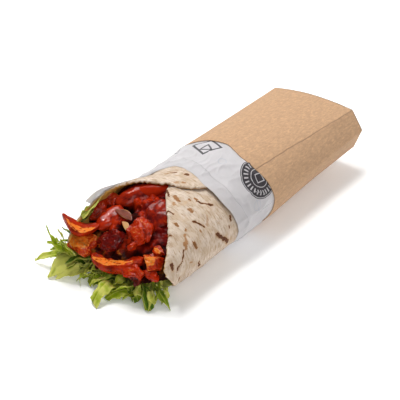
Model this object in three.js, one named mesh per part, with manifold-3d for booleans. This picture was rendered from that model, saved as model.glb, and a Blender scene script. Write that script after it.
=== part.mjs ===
// A chicken wrap lying on its side: one soft flour tortilla rolled round a bed of shredded lettuce and
// saucy chicken strips, with a sheet of thin paper round its middle and a brown card sleeve, shut at
// its end, over the back half. Millimetres. The roll lies along Y with its open mouth towards -Y,
// y = 0 is the front of the sleeve and z = 0 is the table; the last lines move the origin to the
// middle of the underside.

import * as THREE from 'three';
import { mergeVertices } from 'three/addons/utils/BufferGeometryUtils.js';
import Module from 'manifold-3d';

const wasm = await Module();
wasm.setup();

// ---- Driving dimensions ----
const SLEEVE_LENGTH = 104;
const MOUTH = { halfWidth: 38.5, halfHeight: 26.6, axisHeight: 26, roundness: 2.2 };
// The shut end is a flat six-sided fold: half widths and heights of its top, side tips and base.
const SHUT_END = {
  top: 32, tip: 40.7, base: 35.4,
  topZ: 41, tipZ: 28, baseZ: 13.7,
  crown: 3, shift: -3.1, roll: 0.03,
};
const LIE_FLAT = 2.6;            // how late the sleeve's underside leaves the table: a power of y
const SETTLE = { depth: 1.2, from: -11, to: -24 };   // the bare roll sits lower than the card
// The left lip of the mouth opens outwards and up.
const FLARE = { reach: 7, angle: 140, spread: 45, from: -50, to: -92, outwards: -0.45, upwards: 0.89 };

// Layers, by how deep their outer faces lie under the sleeve's.
const CARD = { depth: 0, thickness: 0.6 };
const PAPER = { depth: 1.2, thickness: 0.5, hem: 9, hemRise: 0.35 };
const LOOSE_PAPER = { clear: 1.1, from: -47.5, to: -50, lift: 2.2, angle: 155, spread: 60, full: -95 };
const BREAD = { depth: 1.3, wrappedDepth: 2.1, thickness: 2, lapStep: 2.4, endTaper: 0.6 };
const FILLING_DEPTH = 4.9;
const NOSE = { from: -92, to: -116, narrowing: 0.35 };   // the heaps narrow as they leave the mouth
// Lettuce under the chicken; past the tortilla's underside it sinks to the table.
const BED = { height: 10.5, noseDrop: 14, sink: 3.6, sinkFrom: -84, sinkTo: -88, clear: 0.3 };
const GAP = 0.3;
const SHORTEST_EDGE = 0.05;      // shorter ones, left where bodies were cut, are closed up

// The layers end one inside the other at the shut end.
const PAPER_END = 102.8;
const BREAD_END = 100;
const FILLING_END = 96;

// ---- Outlines of the layers' front edges: [degrees, y], 0 = right, 90 = top, 180 = left ----
const SLEEVE_FRONT = [[0, -3.5], [37.5, -8.5], [60, -8], [90, -1.5], [120, -2.5], [142.5, -7], [180, -4],
  [230, -9], [320, -9], [360, -3.5]];
const PAPER_FRONT = [[0, -41.5], [30, -47], [60, -45.5], [90, -40], [120, -38], [134, -46],
  [145, -78], [155, -99], [163, -92], [182, -74], [202, -60], [225, -50], [250, -42], [300, -36],
  [360, -41.5]];
// The tortilla's edge by degrees of roll from its inner end, which starts under the flap on top.
const ROLL_START = 112.5;
const ROLL_TURN = 427.5;
const BREAD_FRONT = [[0, -46], [25, -66], [44, -75.5], [60, -84], [82, -96.8], [100, -108],
  [107, -109.8], [117, -107], [130, -100], [165, -86], [200, -83], [235, -90], [262, -100],
  [290, -113.5], [302, -108], [317, -83.5], [340, -66], [357, -61.5], [376, -58.5], [393, -56],
  [409, -51], [417, -44], [427.5, -32]];

// ---- The heaped filling's face, from the tip of the mouth up to the flap: [y, z] ----
const HEAP = [[-125, 6], [-112, 20], [-105, 27], [-95, 35], [-85, 40], [-75, 43.5], [-55, 48]];
const HEAP_CROWN = 4;            // drop of the heap from its middle to its sides
const PIECE_COVER = 5;           // the sauced mass lies this far under the strips' tops
const HEAP_FACING = new THREE.Vector3(0.25, -0.62, 0.75);   // the strips lie flat to this direction

const STEP = 7.5;                // degrees between points round the roll
const AROUND = 360 / STEP;
const SLEEVED_ROWS = [26, 52, 78];   // lengths at which every layer has points, so that they nest
const WRAPPED_ROWS = [-24, -12, ...SLEEVED_ROWS];

// ---- Chicken: strips and chunks, each from one end to the other, with width, thickness and bend ----
const CHICKEN = [
  { from: [-27, -80, 37.5], to: [-9.5, -57.5, 43.5], width: 10.5, thickness: 8, bend: 1.5, face: 'smooth' },
  { from: [-3.5, -69, 40.4], to: [12.3, -82.8, 36.4], width: 17, thickness: 10, bend: 1, face: 'smooth' },
  { from: [-2, -84.2, 38.8], to: [11.8, -99.6, 28.2], width: 15.5, thickness: 10, bend: 0.5, face: 'rough' },
  { from: [-31.5, -83, 35.5], to: [-29, -74, 38.5], width: 7.5, thickness: 7, bend: 0, face: 'rough' },
  { from: [-21.5, -80.5, 35.5], to: [-25, -98.5, 29], width: 11, thickness: 8.5, bend: 1.5, face: 'smooth' },
  { from: [-41.2, -112, 36], to: [-23.5, -101, 30], width: 9, thickness: 7, bend: -2.2, face: 'cut' },
  { from: [-41.5, -108.5, 21.5], to: [-19.8, -107.5, 22.5], width: 13, thickness: 9.5, bend: 0.5, face: 'rough' },
  { from: [-37, -95.5, 30], to: [-30, -80.5, 37], width: 11, thickness: 8.5, bend: 0.5, face: 'rough' },
  { from: [-22.7, -101.2, 24.3], to: [-2.4, -99, 28.6], width: 14, thickness: 9, bend: 1, face: 'rough' },
  { from: [-19.8, -112, 17.5], to: [14.5, -107, 25], width: 12, thickness: 8, bend: -1.2, face: 'cut' },
  { from: [6.5, -113, 17], to: [19, -110, 20], width: 12, thickness: 10, bend: 0.5, face: 'rough' },
  { from: [15, -104.8, 25], to: [26.5, -101.8, 26], width: 11.5, thickness: 10, bend: 0.5, face: 'rough' },
  { from: [16.5, -110, 19.5], to: [29.5, -106.6, 21.5], width: 6.5, thickness: 5.5, bend: 1, face: 'rough' },
  { from: [13.6, -95.6, 30.6], to: [22.9, -97.3, 28.4], width: 4.5, thickness: 4.5, bend: 0.5, face: 'rough' },
  { from: [1.8, -102.4, 28.5], to: [6.5, -100.8, 30.2], width: 4, thickness: 4, bend: 0, face: 'rough' },
];
const LONG_PIECE = 20;           // strips longer than this have more facets
const END_TAPER = 0.25;          // how much a strip narrows to its ends
const ONION = [
  { from: [-21, -86, 37.8], to: [-5.8, -89, 37.9], width: 5, thickness: 1.4, bend: 1.5, face: 'slice' },
  { from: [-10.7, -92.2, 36.5], to: [-5, -95.5, 34.3], width: 3.6, thickness: 1.4, bend: 0.6, face: 'slice' },
];

// ---- Lettuce shreds that spill from the mouth, each from root to tip, with its width, the height of
// its arch, its sideways bow, the lean of its blade in degrees and, where it ends square, blunt ----
const SHREDS = [
  { root: [-25, -115, 12], tip: [-51, -118.5, 30.5], width: 3.4, arch: -3, bow: 6, lean: 50 },
  { root: [-25, -114, 12], tip: [-46, -118, 25], width: 4, arch: -1, bow: 6, lean: -40 },
  { root: [-25, -112, 11], tip: [-62, -117, 1.5], width: 11, arch: 4, bow: 3, lean: 22 },
  { root: [-25, -112, 12], tip: [-51, -113, 12], width: 9, arch: 4, bow: 5, lean: -25, blunt: true },
  { root: [-28, -108, 7], tip: [-45, -126, 1], width: 17, arch: 3, bow: -1, lean: 12 },
  { root: [-20, -108, 7], tip: [-40, -124, 1], width: 6.5, arch: 4, bow: 1, lean: 10 },
  { root: [-14, -112, 6], tip: [-23, -122, 1], width: 4, arch: 5, bow: -4, lean: 30 },
  { root: [-18, -105, 12], tip: [-33, -110, 6], width: 2.6, arch: 1, bow: 1, lean: -30 },
  { root: [-8, -107, 11], tip: [-21, -110, 5], width: 7, arch: 2, bow: 1, lean: 24 },
  { root: [-8, -108, 9], tip: [-3, -130, 1], width: 12, arch: 4, bow: 1, lean: -12 },
  { root: [4, -106, 10], tip: [-14, -115, 5], width: 8, arch: 3, bow: -2, lean: -24 },
  { root: [14, -108, 8], tip: [-3, -113, 4], width: 8, arch: 3, bow: 2, lean: 26 },
  { root: [12, -109, 5], tip: [3, -123, 1.5], width: 9, arch: 3, bow: -1, lean: -14, blunt: true },
  { root: [16, -107, 4], tip: [9, -117, 1.5], width: 8, arch: 2, bow: 1, lean: 12, blunt: true },
  { root: [16, -105, 8], tip: [25, -118.5, 1.2], width: 7.5, arch: 3, bow: 1, lean: 24 },
  { root: [20, -103, 9], tip: [29, -116, 1.2], width: 5.5, arch: 4, bow: -1, lean: -30 },
  { root: [20, -101, 8], tip: [27, -110, 2], width: 6, arch: 4, bow: 1, lean: 35 },
  { root: [22, -100, 9], tip: [35, -107.5, 1.5], width: 7.5, arch: 3, bow: -1, lean: 16, blunt: true },
  { root: [21, -97, 10], tip: [31, -104.5, 2], width: 7, arch: 2, bow: 1, lean: -20 },
  { root: [23, -94.5, 19], tip: [31, -102, 6], width: 11, arch: 2, bow: 0, lean: 52 },
  { root: [-25, -105, 10], tip: [-38, -115, 8], width: 6, arch: 3, bow: 2, lean: 30 },
];
const SHRED = { thickness: 0.9, ruffle: 0.7, step: 4.5, tipWidth: 0.6, veined: 5 };

// ---- Small tools ----
const radians = THREE.MathUtils.degToRad;
const clamp = THREE.MathUtils.clamp;
const lerp = THREE.MathUtils.lerp;

/** 0 at a, 1 at b, smooth between; a may be larger than b. */
function ease(a, b, value) {
  const t = clamp((value - a) / (b - a), 0, 1);
  return t * t * (3 - 2 * t);
}

/** Value of a list of [x, value] stations at x, straight between them. */
function along(stations, x) {
  const next = stations.findIndex((station) => station[0] >= x);
  if (next <= 0) return next === 0 ? stations[0][1] : stations[stations.length - 1][1];
  const [x0, v0] = stations[next - 1];
  const [x1, v1] = stations[next];
  return lerp(v0, v1, (x - x0) / (x1 - x0));
}

/** Smooth bumps between -1 and 1 that never repeat over a piece. */
function lumps(x, y, z, seed) {
  const a = Math.sin(x * 1.7 + seed * 2.3) * Math.cos(y * 1.9 - seed);
  const b = Math.sin(y * 3.1 + z * 2.3 + seed * 1.1) * Math.cos(z * 3.7 + x * 2.9);
  return 0.6 * a + 0.4 * b;
}

// ---- The roll's outer envelope ----

/** The round mouth of the sleeve, about its axis. */
function mouthPoint(degrees) {
  const c = Math.cos(radians(degrees));
  const s = Math.sin(radians(degrees));
  const n = MOUTH.roundness;
  const r = (Math.abs(c / MOUTH.halfWidth) ** n + Math.abs(s / MOUTH.halfHeight) ** n) ** (-1 / n);
  return [r * c, MOUTH.axisHeight + r * s];
}

const { top, tip, base, topZ, tipZ, baseZ } = SHUT_END;
// Corners of the folded end: [degrees, x, z]
const END_CORNERS = [[0, tip, tipZ], [37.5, top, topZ], [142.5, -top, topZ], [180, -tip, tipZ],
  [217.5, -base, baseZ], [322.5, base, baseZ], [360, tip, tipZ]];
const END_X = END_CORNERS.map(([degrees, x]) => [degrees, x]);
const END_Z = END_CORNERS.map(([degrees, , z]) => [degrees, z]);
const [, TOP_RIGHT, TOP_LEFT] = END_CORNERS.map(([degrees]) => degrees);

/** The folded end of the sleeve: flat sides, an arched top and a slight skew and roll. */
function endPoint(degrees) {
  const x = along(END_X, degrees);
  const arched = degrees > TOP_RIGHT && degrees < TOP_LEFT;
  const z = along(END_Z, degrees) + (arched ? SHUT_END.crown * (1 - (x / top) ** 2) : 0);
  return [x + SHUT_END.shift, z + SHUT_END.roll * x];
}

/** Outermost surface of the whole roll at an angle and a length. */
function envelope(angle, y) {
  const degrees = ((angle % 360) + 360) % 360;
  const t = clamp(y / SLEEVE_LENGTH, 0, 1);
  const under = ease(0.6, 1, -Math.sin(radians(degrees)));
  const fold = lerp(t, t ** LIE_FLAT, under);
  const [mouthX, mouthZ] = mouthPoint(degrees);
  const [endX, endZ] = endPoint(degrees);
  const settle = SETTLE.depth * ease(SETTLE.from, SETTLE.to, y);
  const away = clamp((degrees - FLARE.angle) / FLARE.spread, -1, 1);
  const flare = FLARE.reach * ease(FLARE.from, FLARE.to, y) * Math.cos(away * Math.PI / 2) ** 2;
  const x = lerp(mouthX, endX, fold) + FLARE.outwards * flare;
  const z = Math.max(lerp(mouthZ, endZ, fold), 0) - settle + FLARE.upwards * flare;
  return new THREE.Vector3(x, y, z);
}

/** The same surface, moved inwards by depth. */
function layer(angle, y, depth) {
  const before = envelope(angle - STEP / 2, y);
  const after = envelope(angle + STEP / 2, y);
  const tangent = after.sub(before).normalize();
  return envelope(angle, y).add(new THREE.Vector3(-tangent.z, 0, tangent.x).multiplyScalar(depth));
}

// ---- Closed bodies ----

/** A BufferGeometry from points and triangles, with its faces turned outwards. */
function body(points, triangles) {
  const geometry = new THREE.BufferGeometry();
  const numbers = points.flatMap((p) => p.toArray());
  geometry.setAttribute('position', new THREE.Float32BufferAttribute(numbers, 3));
  const volume = triangles.reduce((sum, [a, b, c]) => {
    return sum + points[a].dot(points[b].clone().cross(points[c]));
  }, 0);
  const outward = volume > 0 ? triangles : triangles.map(([a, b, c]) => [a, c, b]);
  geometry.setIndex(outward.flat());
  return geometry;
}

/**
 * A thick sheet from two grids of points, outer[row][column] and inner[row][column]. A sheet that
 * closes on itself wraps its last column to its first; a capped one is shut behind its last row.
 */
function sheet(outer, inner, { closes, capped }) {
  const rows = outer.length;
  const columns = outer[0].length;
  const points = [...outer.flat(), ...inner.flat()];
  const triangles = [];
  const at = (side, row, column) => side * rows * columns + row * columns + (column % columns);
  const quad = (a, b, c, d) => triangles.push([a, b, c], [a, c, d]);
  const spans = closes ? columns : columns - 1;
  for (let row = 0; row < rows - 1; row += 1) {
    for (let i = 0; i < spans; i += 1) {
      quad(at(0, row, i), at(0, row, i + 1), at(0, row + 1, i + 1), at(0, row + 1, i));
      quad(at(1, row, i), at(1, row + 1, i), at(1, row + 1, i + 1), at(1, row, i + 1));
    }
    if (!closes) {
      const last = columns - 1;
      quad(at(0, row, 0), at(0, row + 1, 0), at(1, row + 1, 0), at(1, row, 0));
      quad(at(0, row, last), at(1, row, last), at(1, row + 1, last), at(0, row + 1, last));
    }
  }
  for (let i = 0; i < spans; i += 1) {
    quad(at(0, 0, i + 1), at(0, 0, i), at(1, 0, i), at(1, 0, i + 1));
  }
  const back = rows - 1;
  if (capped) {
    [0, 1].forEach((side) => {
      const centre = new THREE.Vector3();
      const rim = side === 0 ? outer[back] : inner[back];
      rim.forEach((p) => centre.add(p));
      points.push(centre.divideScalar(rim.length));
      const hub = points.length - 1;
      for (let i = 0; i < columns; i += 1) {
        const pair = [at(side, back, i), at(side, back, i + 1)];
        triangles.push(side === 0 ? [...pair, hub] : [pair[1], pair[0], hub]);
      }
    });
  } else {
    for (let i = 0; i < spans; i += 1) {
      quad(at(0, back, i), at(0, back, i + 1), at(1, back, i + 1), at(1, back, i));
    }
  }
  return body(points, triangles);
}

/** A solid through rings of points, shut at both ends. */
function loft(rings) {
  const count = rings[0].length;
  const points = rings.flat();
  const triangles = [];
  for (let row = 0; row < rings.length - 1; row += 1) {
    for (let i = 0; i < count; i += 1) {
      const a = row * count + i;
      const b = row * count + ((i + 1) % count);
      triangles.push([a, b, b + count], [a, b + count, a + count]);
    }
  }
  [0, rings.length - 1].forEach((row, end) => {
    const centre = new THREE.Vector3();
    rings[row].forEach((p) => centre.add(p));
    points.push(centre.divideScalar(count));
    for (let i = 0; i < count; i += 1) {
      const pair = [row * count + i, row * count + ((i + 1) % count)];
      triangles.push(end === 0 ? [pair[1], pair[0], points.length - 1] : [...pair, points.length - 1]);
    }
  });
  return body(points, triangles);
}

/** A flat list of corners as one entry for each triangle. */
function inThrees(corners) {
  return Array.from({ length: corners.length / 3 }, (_, i) => Array.from(corners.slice(3 * i, 3 * i + 3)));
}

/** Values from a to b in count even steps, both ends among them. */
function spread(a, b, count) {
  return Array.from({ length: count + 1 }, (_, i) => lerp(a, b, i / count));
}

// ---- Booleans ----

function solid(geometry) {
  const bare = geometry.clone();
  ['normal', 'uv'].forEach((name) => bare.deleteAttribute(name));
  const merged = mergeVertices(bare, 1e-4);
  return new wasm.Manifold(new wasm.Mesh({
    numProp: 3,
    vertProperties: Float32Array.from(merged.attributes.position.array),
    triVerts: Uint32Array.from(merged.index.array),
  }));
}

/** Draws the two ends of each very short edge together, wherever that leaves the surface closed. */
function closeShortEdges(points, triangles) {
  let kept = triangles;
  const stuck = new Set();
  const around = (corner) => new Set(kept.filter((triangle) => triangle.includes(corner)).flat());
  for (;;) {
    const short = kept
      .flatMap(([a, b, c]) => [[a, b], [b, c], [c, a]])
      .find(([i, j]) => i < j && !stuck.has(`${i} ${j}`) && points[i].distanceTo(points[j]) < SHORTEST_EDGE);
    if (!short) return kept;
    const [i, j] = short;
    const nearJ = around(j);
    const shared = [...around(i)].filter((corner) => corner !== i && corner !== j && nearJ.has(corner));
    if (shared.length === 2) {
      kept = kept
        .map((triangle) => triangle.map((corner) => (corner === j ? i : corner)))
        .filter(([a, b, c]) => a !== b && b !== c && c !== a);
    } else {
      stuck.add(`${i} ${j}`);
    }
  }
}

/** The largest piece of a solid, back as a geometry; crumbs that a cut left loose are dropped. */
function largest(manifold) {
  const pieces = manifold.decompose().sort((a, b) => b.volume() - a.volume());
  const { vertProperties, triVerts } = pieces[0].getMesh();
  const points = Array.from({ length: vertProperties.length / 3 }, (_, i) => {
    return new THREE.Vector3().fromArray(vertProperties, 3 * i);
  });
  return body(points, closeShortEdges(points, inThrees(triVerts)));
}

const cut = (target, tools) => tools.reduce((left, tool) => left.subtract(tool), target);

// ---- Sleeve ----

function sleeveGeometry() {
  const angles = spread(0, 360 - STEP, AROUND - 1);
  const rowsAt = (depth, end) => [null, ...SLEEVED_ROWS, end].map((y) => angles.map((angle) => {
    return layer(angle, y ?? along(SLEEVE_FRONT, angle), depth);
  }));
  const outer = rowsAt(CARD.depth, SLEEVE_LENGTH);
  const inner = rowsAt(CARD.depth + CARD.thickness, SLEEVE_LENGTH - CARD.thickness);
  return sheet(outer, inner, { closes: true, capped: true });
}

// ---- Paper ----

/** How far the paper's loose front stands off the tortilla. */
function paperStandOff(angle, y) {
  const away = clamp((angle - LOOSE_PAPER.angle) / LOOSE_PAPER.spread, -1, 1);
  const clear = LOOSE_PAPER.clear * ease(LOOSE_PAPER.from, LOOSE_PAPER.to, y);
  const lift = LOOSE_PAPER.lift * ease(LOOSE_PAPER.to, LOOSE_PAPER.full, y);
  return clear + lift * Math.cos(away * Math.PI / 2);
}

function paperGeometry() {
  const angles = spread(0, 360 - STEP, AROUND - 1);
  const stations = (front) => {
    const hem = front + PAPER.hem;
    return [front, hem, hem + 0.4, ...WRAPPED_ROWS, PAPER_END];
  };
  const rowsAt = (inside) => {
    const count = stations(0).length;
    return spread(0, count - 1, count - 1).map((row) => angles.map((angle) => {
      const y = stations(along(PAPER_FRONT, angle))[row];
      const onTable = ease(0.7, 0.95, -Math.sin(radians(angle)));
      const hem = row < 2 && !inside ? PAPER.hemRise * (1 - onTable) : 0;
      const back = inside && row === count - 1 ? PAPER.thickness : 0;
      const depth = PAPER.depth + (inside ? PAPER.thickness : 0) - hem - paperStandOff(angle, y);
      return layer(angle, y - back, depth);
    }));
  };
  return sheet(rowsAt(false), rowsAt(true), { closes: true, capped: true });
}

// ---- Tortilla ----

/** How much deeper the sheet's inner end lies, under the flap and on round the right side. */
function lap(turn) {
  return BREAD.lapStep * ease(135, 72, turn);
}

function breadDepth(y) {
  return lerp(BREAD.depth, BREAD.wrappedDepth, ease(-62, -49, y)) + endTaper(y);
}

/** The roll draws in a little towards its folded end. */
function endTaper(y) {
  return BREAD.endTaper * ease(SLEEVED_ROWS.at(-1), BREAD_END, y);
}

/** The rolled sheet and the fold that shuts its far end; grow makes a copy that is larger all round. */
function tortillaSolid(grow = 0) {
  const turns = spread(0, ROLL_TURN, ROLL_TURN / STEP);
  const stations = (front) => {
    const wrapped = Math.max(-50, front + 3);
    return [...spread(front, wrapped, 2), ...WRAPPED_ROWS, BREAD_END];
  };
  const rowsAt = (inside) => stations(0).map((_, row) => turns.map((turn, column) => {
    const y = stations(along(BREAD_FRONT, turn) - grow)[row];
    const side = column === 0 ? grow : column === turns.length - 1 ? -grow : 0;
    const depth = breadDepth(y) + lap(turn) + (inside ? BREAD.thickness + grow : -grow);
    return layer(ROLL_START - turn + side, y, depth);
  }));
  const rolled = solid(sheet(rowsAt(false), rowsAt(true), { closes: false, capped: false }));
  const angles = spread(0, 360 - STEP, AROUND - 1);
  const fold = [BREAD_END - BREAD.thickness - grow, BREAD_END].map((y) => {
    return angles.map((angle) => layer(angle, y, breadDepth(y) + BREAD.thickness / 2));
  });
  return rolled.add(solid(loft(fold)));
}

// ---- Filling ----

const heapHeight = (x, y) => along(HEAP, y) - HEAP_CROWN * (x / (MOUTH.halfWidth - 2)) ** 2;
const bedTop = (y) => layer(270, y, FILLING_DEPTH).z + BED.height;

/** Room inside the roll at an angle: less of it where the sheet laps over itself. */
function fillingDepth(angle, y, grow) {
  const lapped = BREAD.lapStep * ease(-20, 40, angle) * ease(127, 119, angle);
  return FILLING_DEPTH + lapped + endTaper(y) - grow;
}

/** Both heaps narrow sideways as they run out of the mouth. */
const nose = (y) => 1 - NOSE.narrowing * ease(NOSE.from, NOSE.to, y);

function fillingSolid(grow = 0) {
  const angles = spread(-90, 250, 17);
  const lengths = [FILLING_END, ...WRAPPED_ROWS.toReversed(), -50, -62, -74, -84, -94, -103, -111];
  const rings = lengths.map((y, row) => angles.map((angle) => {
    const ends = row === 0 || row === lengths.length - 1 ? grow : 0;
    const end = row === 0 ? ends : -ends;
    const p = layer(angle, y + end, fillingDepth(angle, y, grow));
    p.x *= nose(y);
    const roof = y < -50 ? heapHeight(p.x, y) - PIECE_COVER + grow : Infinity;
    const floor = bedTop(y) + GAP - grow;
    p.z = clamp(p.z, floor, Math.max(roof, floor + 0.5));
    return p;
  }));
  return solid(loft(rings));
}

/** How square and how uneven each kind of surface is. */
const FACES = {
  smooth: { squareness: 2.4, relief: 0.07 },
  rough: { squareness: 3, relief: 0.13 },
  cut: { squareness: 3.4, relief: 0.08 },
  slice: { squareness: 3, relief: 0.02 },
};

/** A rounded, lumpy bar between two points; grow makes a copy that is larger all round. */
function morsel({ from, to, width, thickness, bend, face, seed }, grow = 0) {
  const start = new THREE.Vector3(...from);
  const end = new THREE.Vector3(...to);
  const axis = end.clone().sub(start);
  const length = axis.length();
  axis.normalize();
  const side = HEAP_FACING.clone().cross(axis).normalize();
  const up = axis.clone().cross(side).normalize();
  const cube = new THREE.BoxGeometry(2, 2, 2, ...(length > LONG_PIECE ? [5, 4, 3] : [4, 3, 2]));
  ['normal', 'uv'].forEach((name) => cube.deleteAttribute(name));
  const ball = mergeVertices(cube, 1e-4);
  const { squareness, relief } = FACES[face];
  const { position } = ball.attributes;
  const points = Array.from({ length: position.count }, (_, i) => {
    const p = new THREE.Vector3().fromBufferAttribute(position, i);
    const powers = p.toArray().map((value) => Math.abs(value) ** squareness);
    const r = (powers[0] + powers[1] + powers[2]) ** (-1 / squareness);
    p.multiplyScalar(r * (1 + relief * lumps(p.x * 2, p.y, p.z, seed)));
    const taper = 1 - END_TAPER * p.x ** 2;
    return start.clone().lerp(end, 0.5)
      .addScaledVector(axis, p.x * (length / 2 + grow))
      .addScaledVector(side, p.y * (width / 2 * taper + grow))
      .addScaledVector(up, p.z * (thickness / 2 * taper + grow) + bend * (p.x ** 2 - 0.4));
  });
  return solid(body(points, inThrees(ball.index.array)));
}

// ---- Lettuce ----

/** A thin wavy blade that narrows to its tip and lies on the table where it reaches it. */
function shred({ root, tip: end, width, arch, bow, lean, blunt }, seed) {
  const start = new THREE.Vector3(...root);
  const run = new THREE.Vector3(...end).sub(start);
  const across = new THREE.Vector3(-run.y, run.x, 0).normalize();
  const steps = clamp(Math.round(run.length() / SHRED.step), 4, 7);
  const faces = [1, -1].map((face) => spread(0, 1, steps).map((s) => {
    const hump = 4 * s * (1 - s);
    const narrowing = blunt ? 1 - 0.35 * s ** 4 : 1 - s ** 2.2;
    const half = width / 2 * narrowing * (0.85 + 0.15 * Math.sin(6 * s + seed)) + SHRED.tipWidth / 2;
    const tilt = radians(lean * Math.cos(1.2 * s + 0.3 * Math.sin(seed)));
    const p = start.clone().addScaledVector(run, s).addScaledVector(across, bow * hump);
    const reach = half * Math.abs(Math.sin(tilt)) + SHRED.ruffle + SHRED.thickness / 2 + 0.05;
    p.z = Math.max(p.z + arch * hump, reach);
    return (width > SHRED.veined ? [-1, 0, 1] : [-1, 1]).map((edge) => {
      const ruffle = SHRED.ruffle * edge * edge * Math.sin(11 * s + edge * 1.3 + seed * 1.7);
      const q = p.clone().addScaledVector(across, edge * half * Math.cos(tilt));
      q.z += edge * half * Math.sin(tilt) + ruffle + face * SHRED.thickness / 2;
      return q;
    });
  }));
  return solid(sheet(faces[0], faces[1], { closes: false, capped: false }));
}

/** The bed under the chicken, from the shut end to the mouth, where it reaches down to the table. */
function bedSolid() {
  const lengths = [FILLING_END - 1, ...WRAPPED_ROWS.toReversed(), -50, -80, -84, -88, -96, -104, -111];
  const rings = lengths.map((y) => {
    const depth = FILLING_DEPTH + endTaper(y);
    const roof = bedTop(y) - BED.noseDrop * (1 - nose(y));
    const sink = BED.sink * ease(BED.sinkFrom, BED.sinkTo, y);
    const [left, right] = [-1, 1].map((way) => {
      const steps = spread(0, 90, 90).find((turned) => layer(270 + way * turned, y, depth).z > roof);
      return 270 + way * (steps - 1);
    });
    return spread(left, right, 13).map((angle) => {
      const p = layer(angle, y, depth);
      p.x *= nose(y);
      p.z = Math.max(p.z - sink, BED.clear);
      return p;
    });
  });
  return solid(loft(rings));
}

// ---- Assembly ----

const wrap = new THREE.Group();

function add(name, geometry, color, roughness) {
  const material = new THREE.MeshStandardMaterial({ color, roughness, metalness: 0 });
  const mesh = new THREE.Mesh(geometry, material);
  mesh.name = name;
  wrap.add(mesh);
}

const tortilla = tortillaSolid();
const tortillaRoom = tortillaSolid(GAP);

const numbered = (name, i) => `${name}_${String(i + 1).padStart(2, '0')}`;
const slices = ONION.map((spec, i) => {
  return { ...spec, name: numbered('onion', i), seed: CHICKEN.length + i, color: 0xc9a08c };
});
const strips = CHICKEN.map((spec, i) => {
  const color = spec.face === 'smooth' ? 0x8f2412 : 0xb8321a;
  return { ...spec, name: numbered('chicken', i), seed: i, color };
});
const rooms = [];
[...slices, ...strips].forEach((piece) => {
  add(piece.name, largest(cut(morsel(piece), [tortillaRoom, ...rooms])), piece.color, 0.35);
  rooms.push(morsel(piece, GAP));
});

const sauced = cut(fillingSolid(), rooms);
const greens = SHREDS.reduce((heap, spec, i) => heap.add(shred(spec, i)), bedSolid());

add('card_sleeve', sleeveGeometry(), 0xc39566, 0.85);
add('paper_liner', paperGeometry(), 0xe9e7ea, 0.7);
add('tortilla', largest(tortilla), 0xe6dccb, 0.8);
add('chicken_filling', largest(sauced), 0x6d1a12, 0.3);
add('lettuce', largest(cut(greens, [tortillaRoom, fillingSolid(GAP), ...rooms])), 0x86a83a, 0.5);

const box = new THREE.Box3().setFromObject(wrap);
const middle = box.getCenter(new THREE.Vector3());
wrap.position.set(-middle.x, -middle.y, -box.min.z);

export default wrap;
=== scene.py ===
"""A chicken wrap on its side: the finish and the fine forms of the card sleeve, the paper, the flour
tortilla, the saucy chicken, the onion and the shredded lettuce, on a pale floor in soft light.

Lengths are in millimetres along the roll: +Y towards the shut end of the sleeve, y = 0 at the front
of the sleeve, z = 0 on the table. row_frame() turns them into metres in the frame of the model.
"""
import math
from itertools import product

import bpy
import numpy as np
from bpy.props import FloatProperty, FloatVectorProperty, IntProperty, PointerProperty
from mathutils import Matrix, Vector
from mathutils.kdtree import KDTree


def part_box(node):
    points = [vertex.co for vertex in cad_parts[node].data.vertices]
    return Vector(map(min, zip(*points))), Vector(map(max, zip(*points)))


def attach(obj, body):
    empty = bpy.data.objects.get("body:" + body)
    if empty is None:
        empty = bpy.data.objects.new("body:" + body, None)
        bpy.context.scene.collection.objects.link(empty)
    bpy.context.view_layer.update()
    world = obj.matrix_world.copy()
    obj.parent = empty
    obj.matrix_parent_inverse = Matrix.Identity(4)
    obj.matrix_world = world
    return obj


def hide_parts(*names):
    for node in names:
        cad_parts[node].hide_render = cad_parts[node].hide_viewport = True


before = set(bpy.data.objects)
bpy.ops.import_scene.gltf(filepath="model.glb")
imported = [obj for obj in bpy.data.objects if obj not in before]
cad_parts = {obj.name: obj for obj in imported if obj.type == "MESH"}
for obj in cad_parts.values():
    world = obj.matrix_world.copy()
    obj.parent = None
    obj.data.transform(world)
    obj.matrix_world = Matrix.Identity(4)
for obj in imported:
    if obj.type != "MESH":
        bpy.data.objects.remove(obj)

bl_info = {
    "name": "Chicken Wrap Maker",
    "version": (1, 0, 0),
    "blender": (4, 5, 0),
    "location": "View3D > Sidebar > Wrap",
    "description": "Makes a chicken wrap in its paper and card sleeve, piece by piece",
    "category": "Add Mesh",
}

# ---- Driving dimensions: the roll is the solids' own, its thin sheets are thinner than theirs ----
MM = 0.001
SLEEVE_LENGTH = 104.0
MOUTH_HALF_WIDTH, MOUTH_HALF_HEIGHT, AXIS_HEIGHT, MOUTH_ROUNDNESS = 38.5, 26.6, 26.0, 2.2
END_TOP, END_TIP, END_BASE = 32.0, 40.7, 35.4
END_TOP_Z, END_TIP_Z, END_BASE_Z = 41.0, 28.0, 13.7
END_CROWN, END_SHIFT, END_ROLL = 3.0, -3.1, 0.03
LIE_FLAT = 2.6
SETTLE, SETTLE_FROM, SETTLE_TO = 1.2, -11.0, -24.0
FLARE, FLARE_ANGLE, FLARE_SPREAD, FLARE_FROM, FLARE_TO = 7.0, 140.0, 45.0, -50.0, -92.0
FLARE_LEFT, FLARE_UP = 0.45, 0.89
SLOPE_STEP = 3.75       # degrees to either side, between which the roll's slope is taken
GIRTH_AT = -40.0        # the length at which the way round the roll is measured
CARD_THICKNESS = 0.5
PAPER_DEPTH, PAPER_THICKNESS, HEM, HEM_RISE = 1.15, 0.18, 9.0, 0.3
BREAD_DEPTH, BREAD_WRAPPED_DEPTH, BREAD_THICKNESS, LAP_STEP = 1.3, 1.6, 2.0, 2.4
TAIL_TAPER, TAPER_FROM = 0.6, 78.0
FILLING_DEPTH, BED_HEIGHT, PIECE_COVER, HEAP_FROM = 4.9, 10.5, 3.4, -50.0
PAPER_END, BREAD_END, FILLING_END = 102.8, 100.0, 96.0
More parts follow.
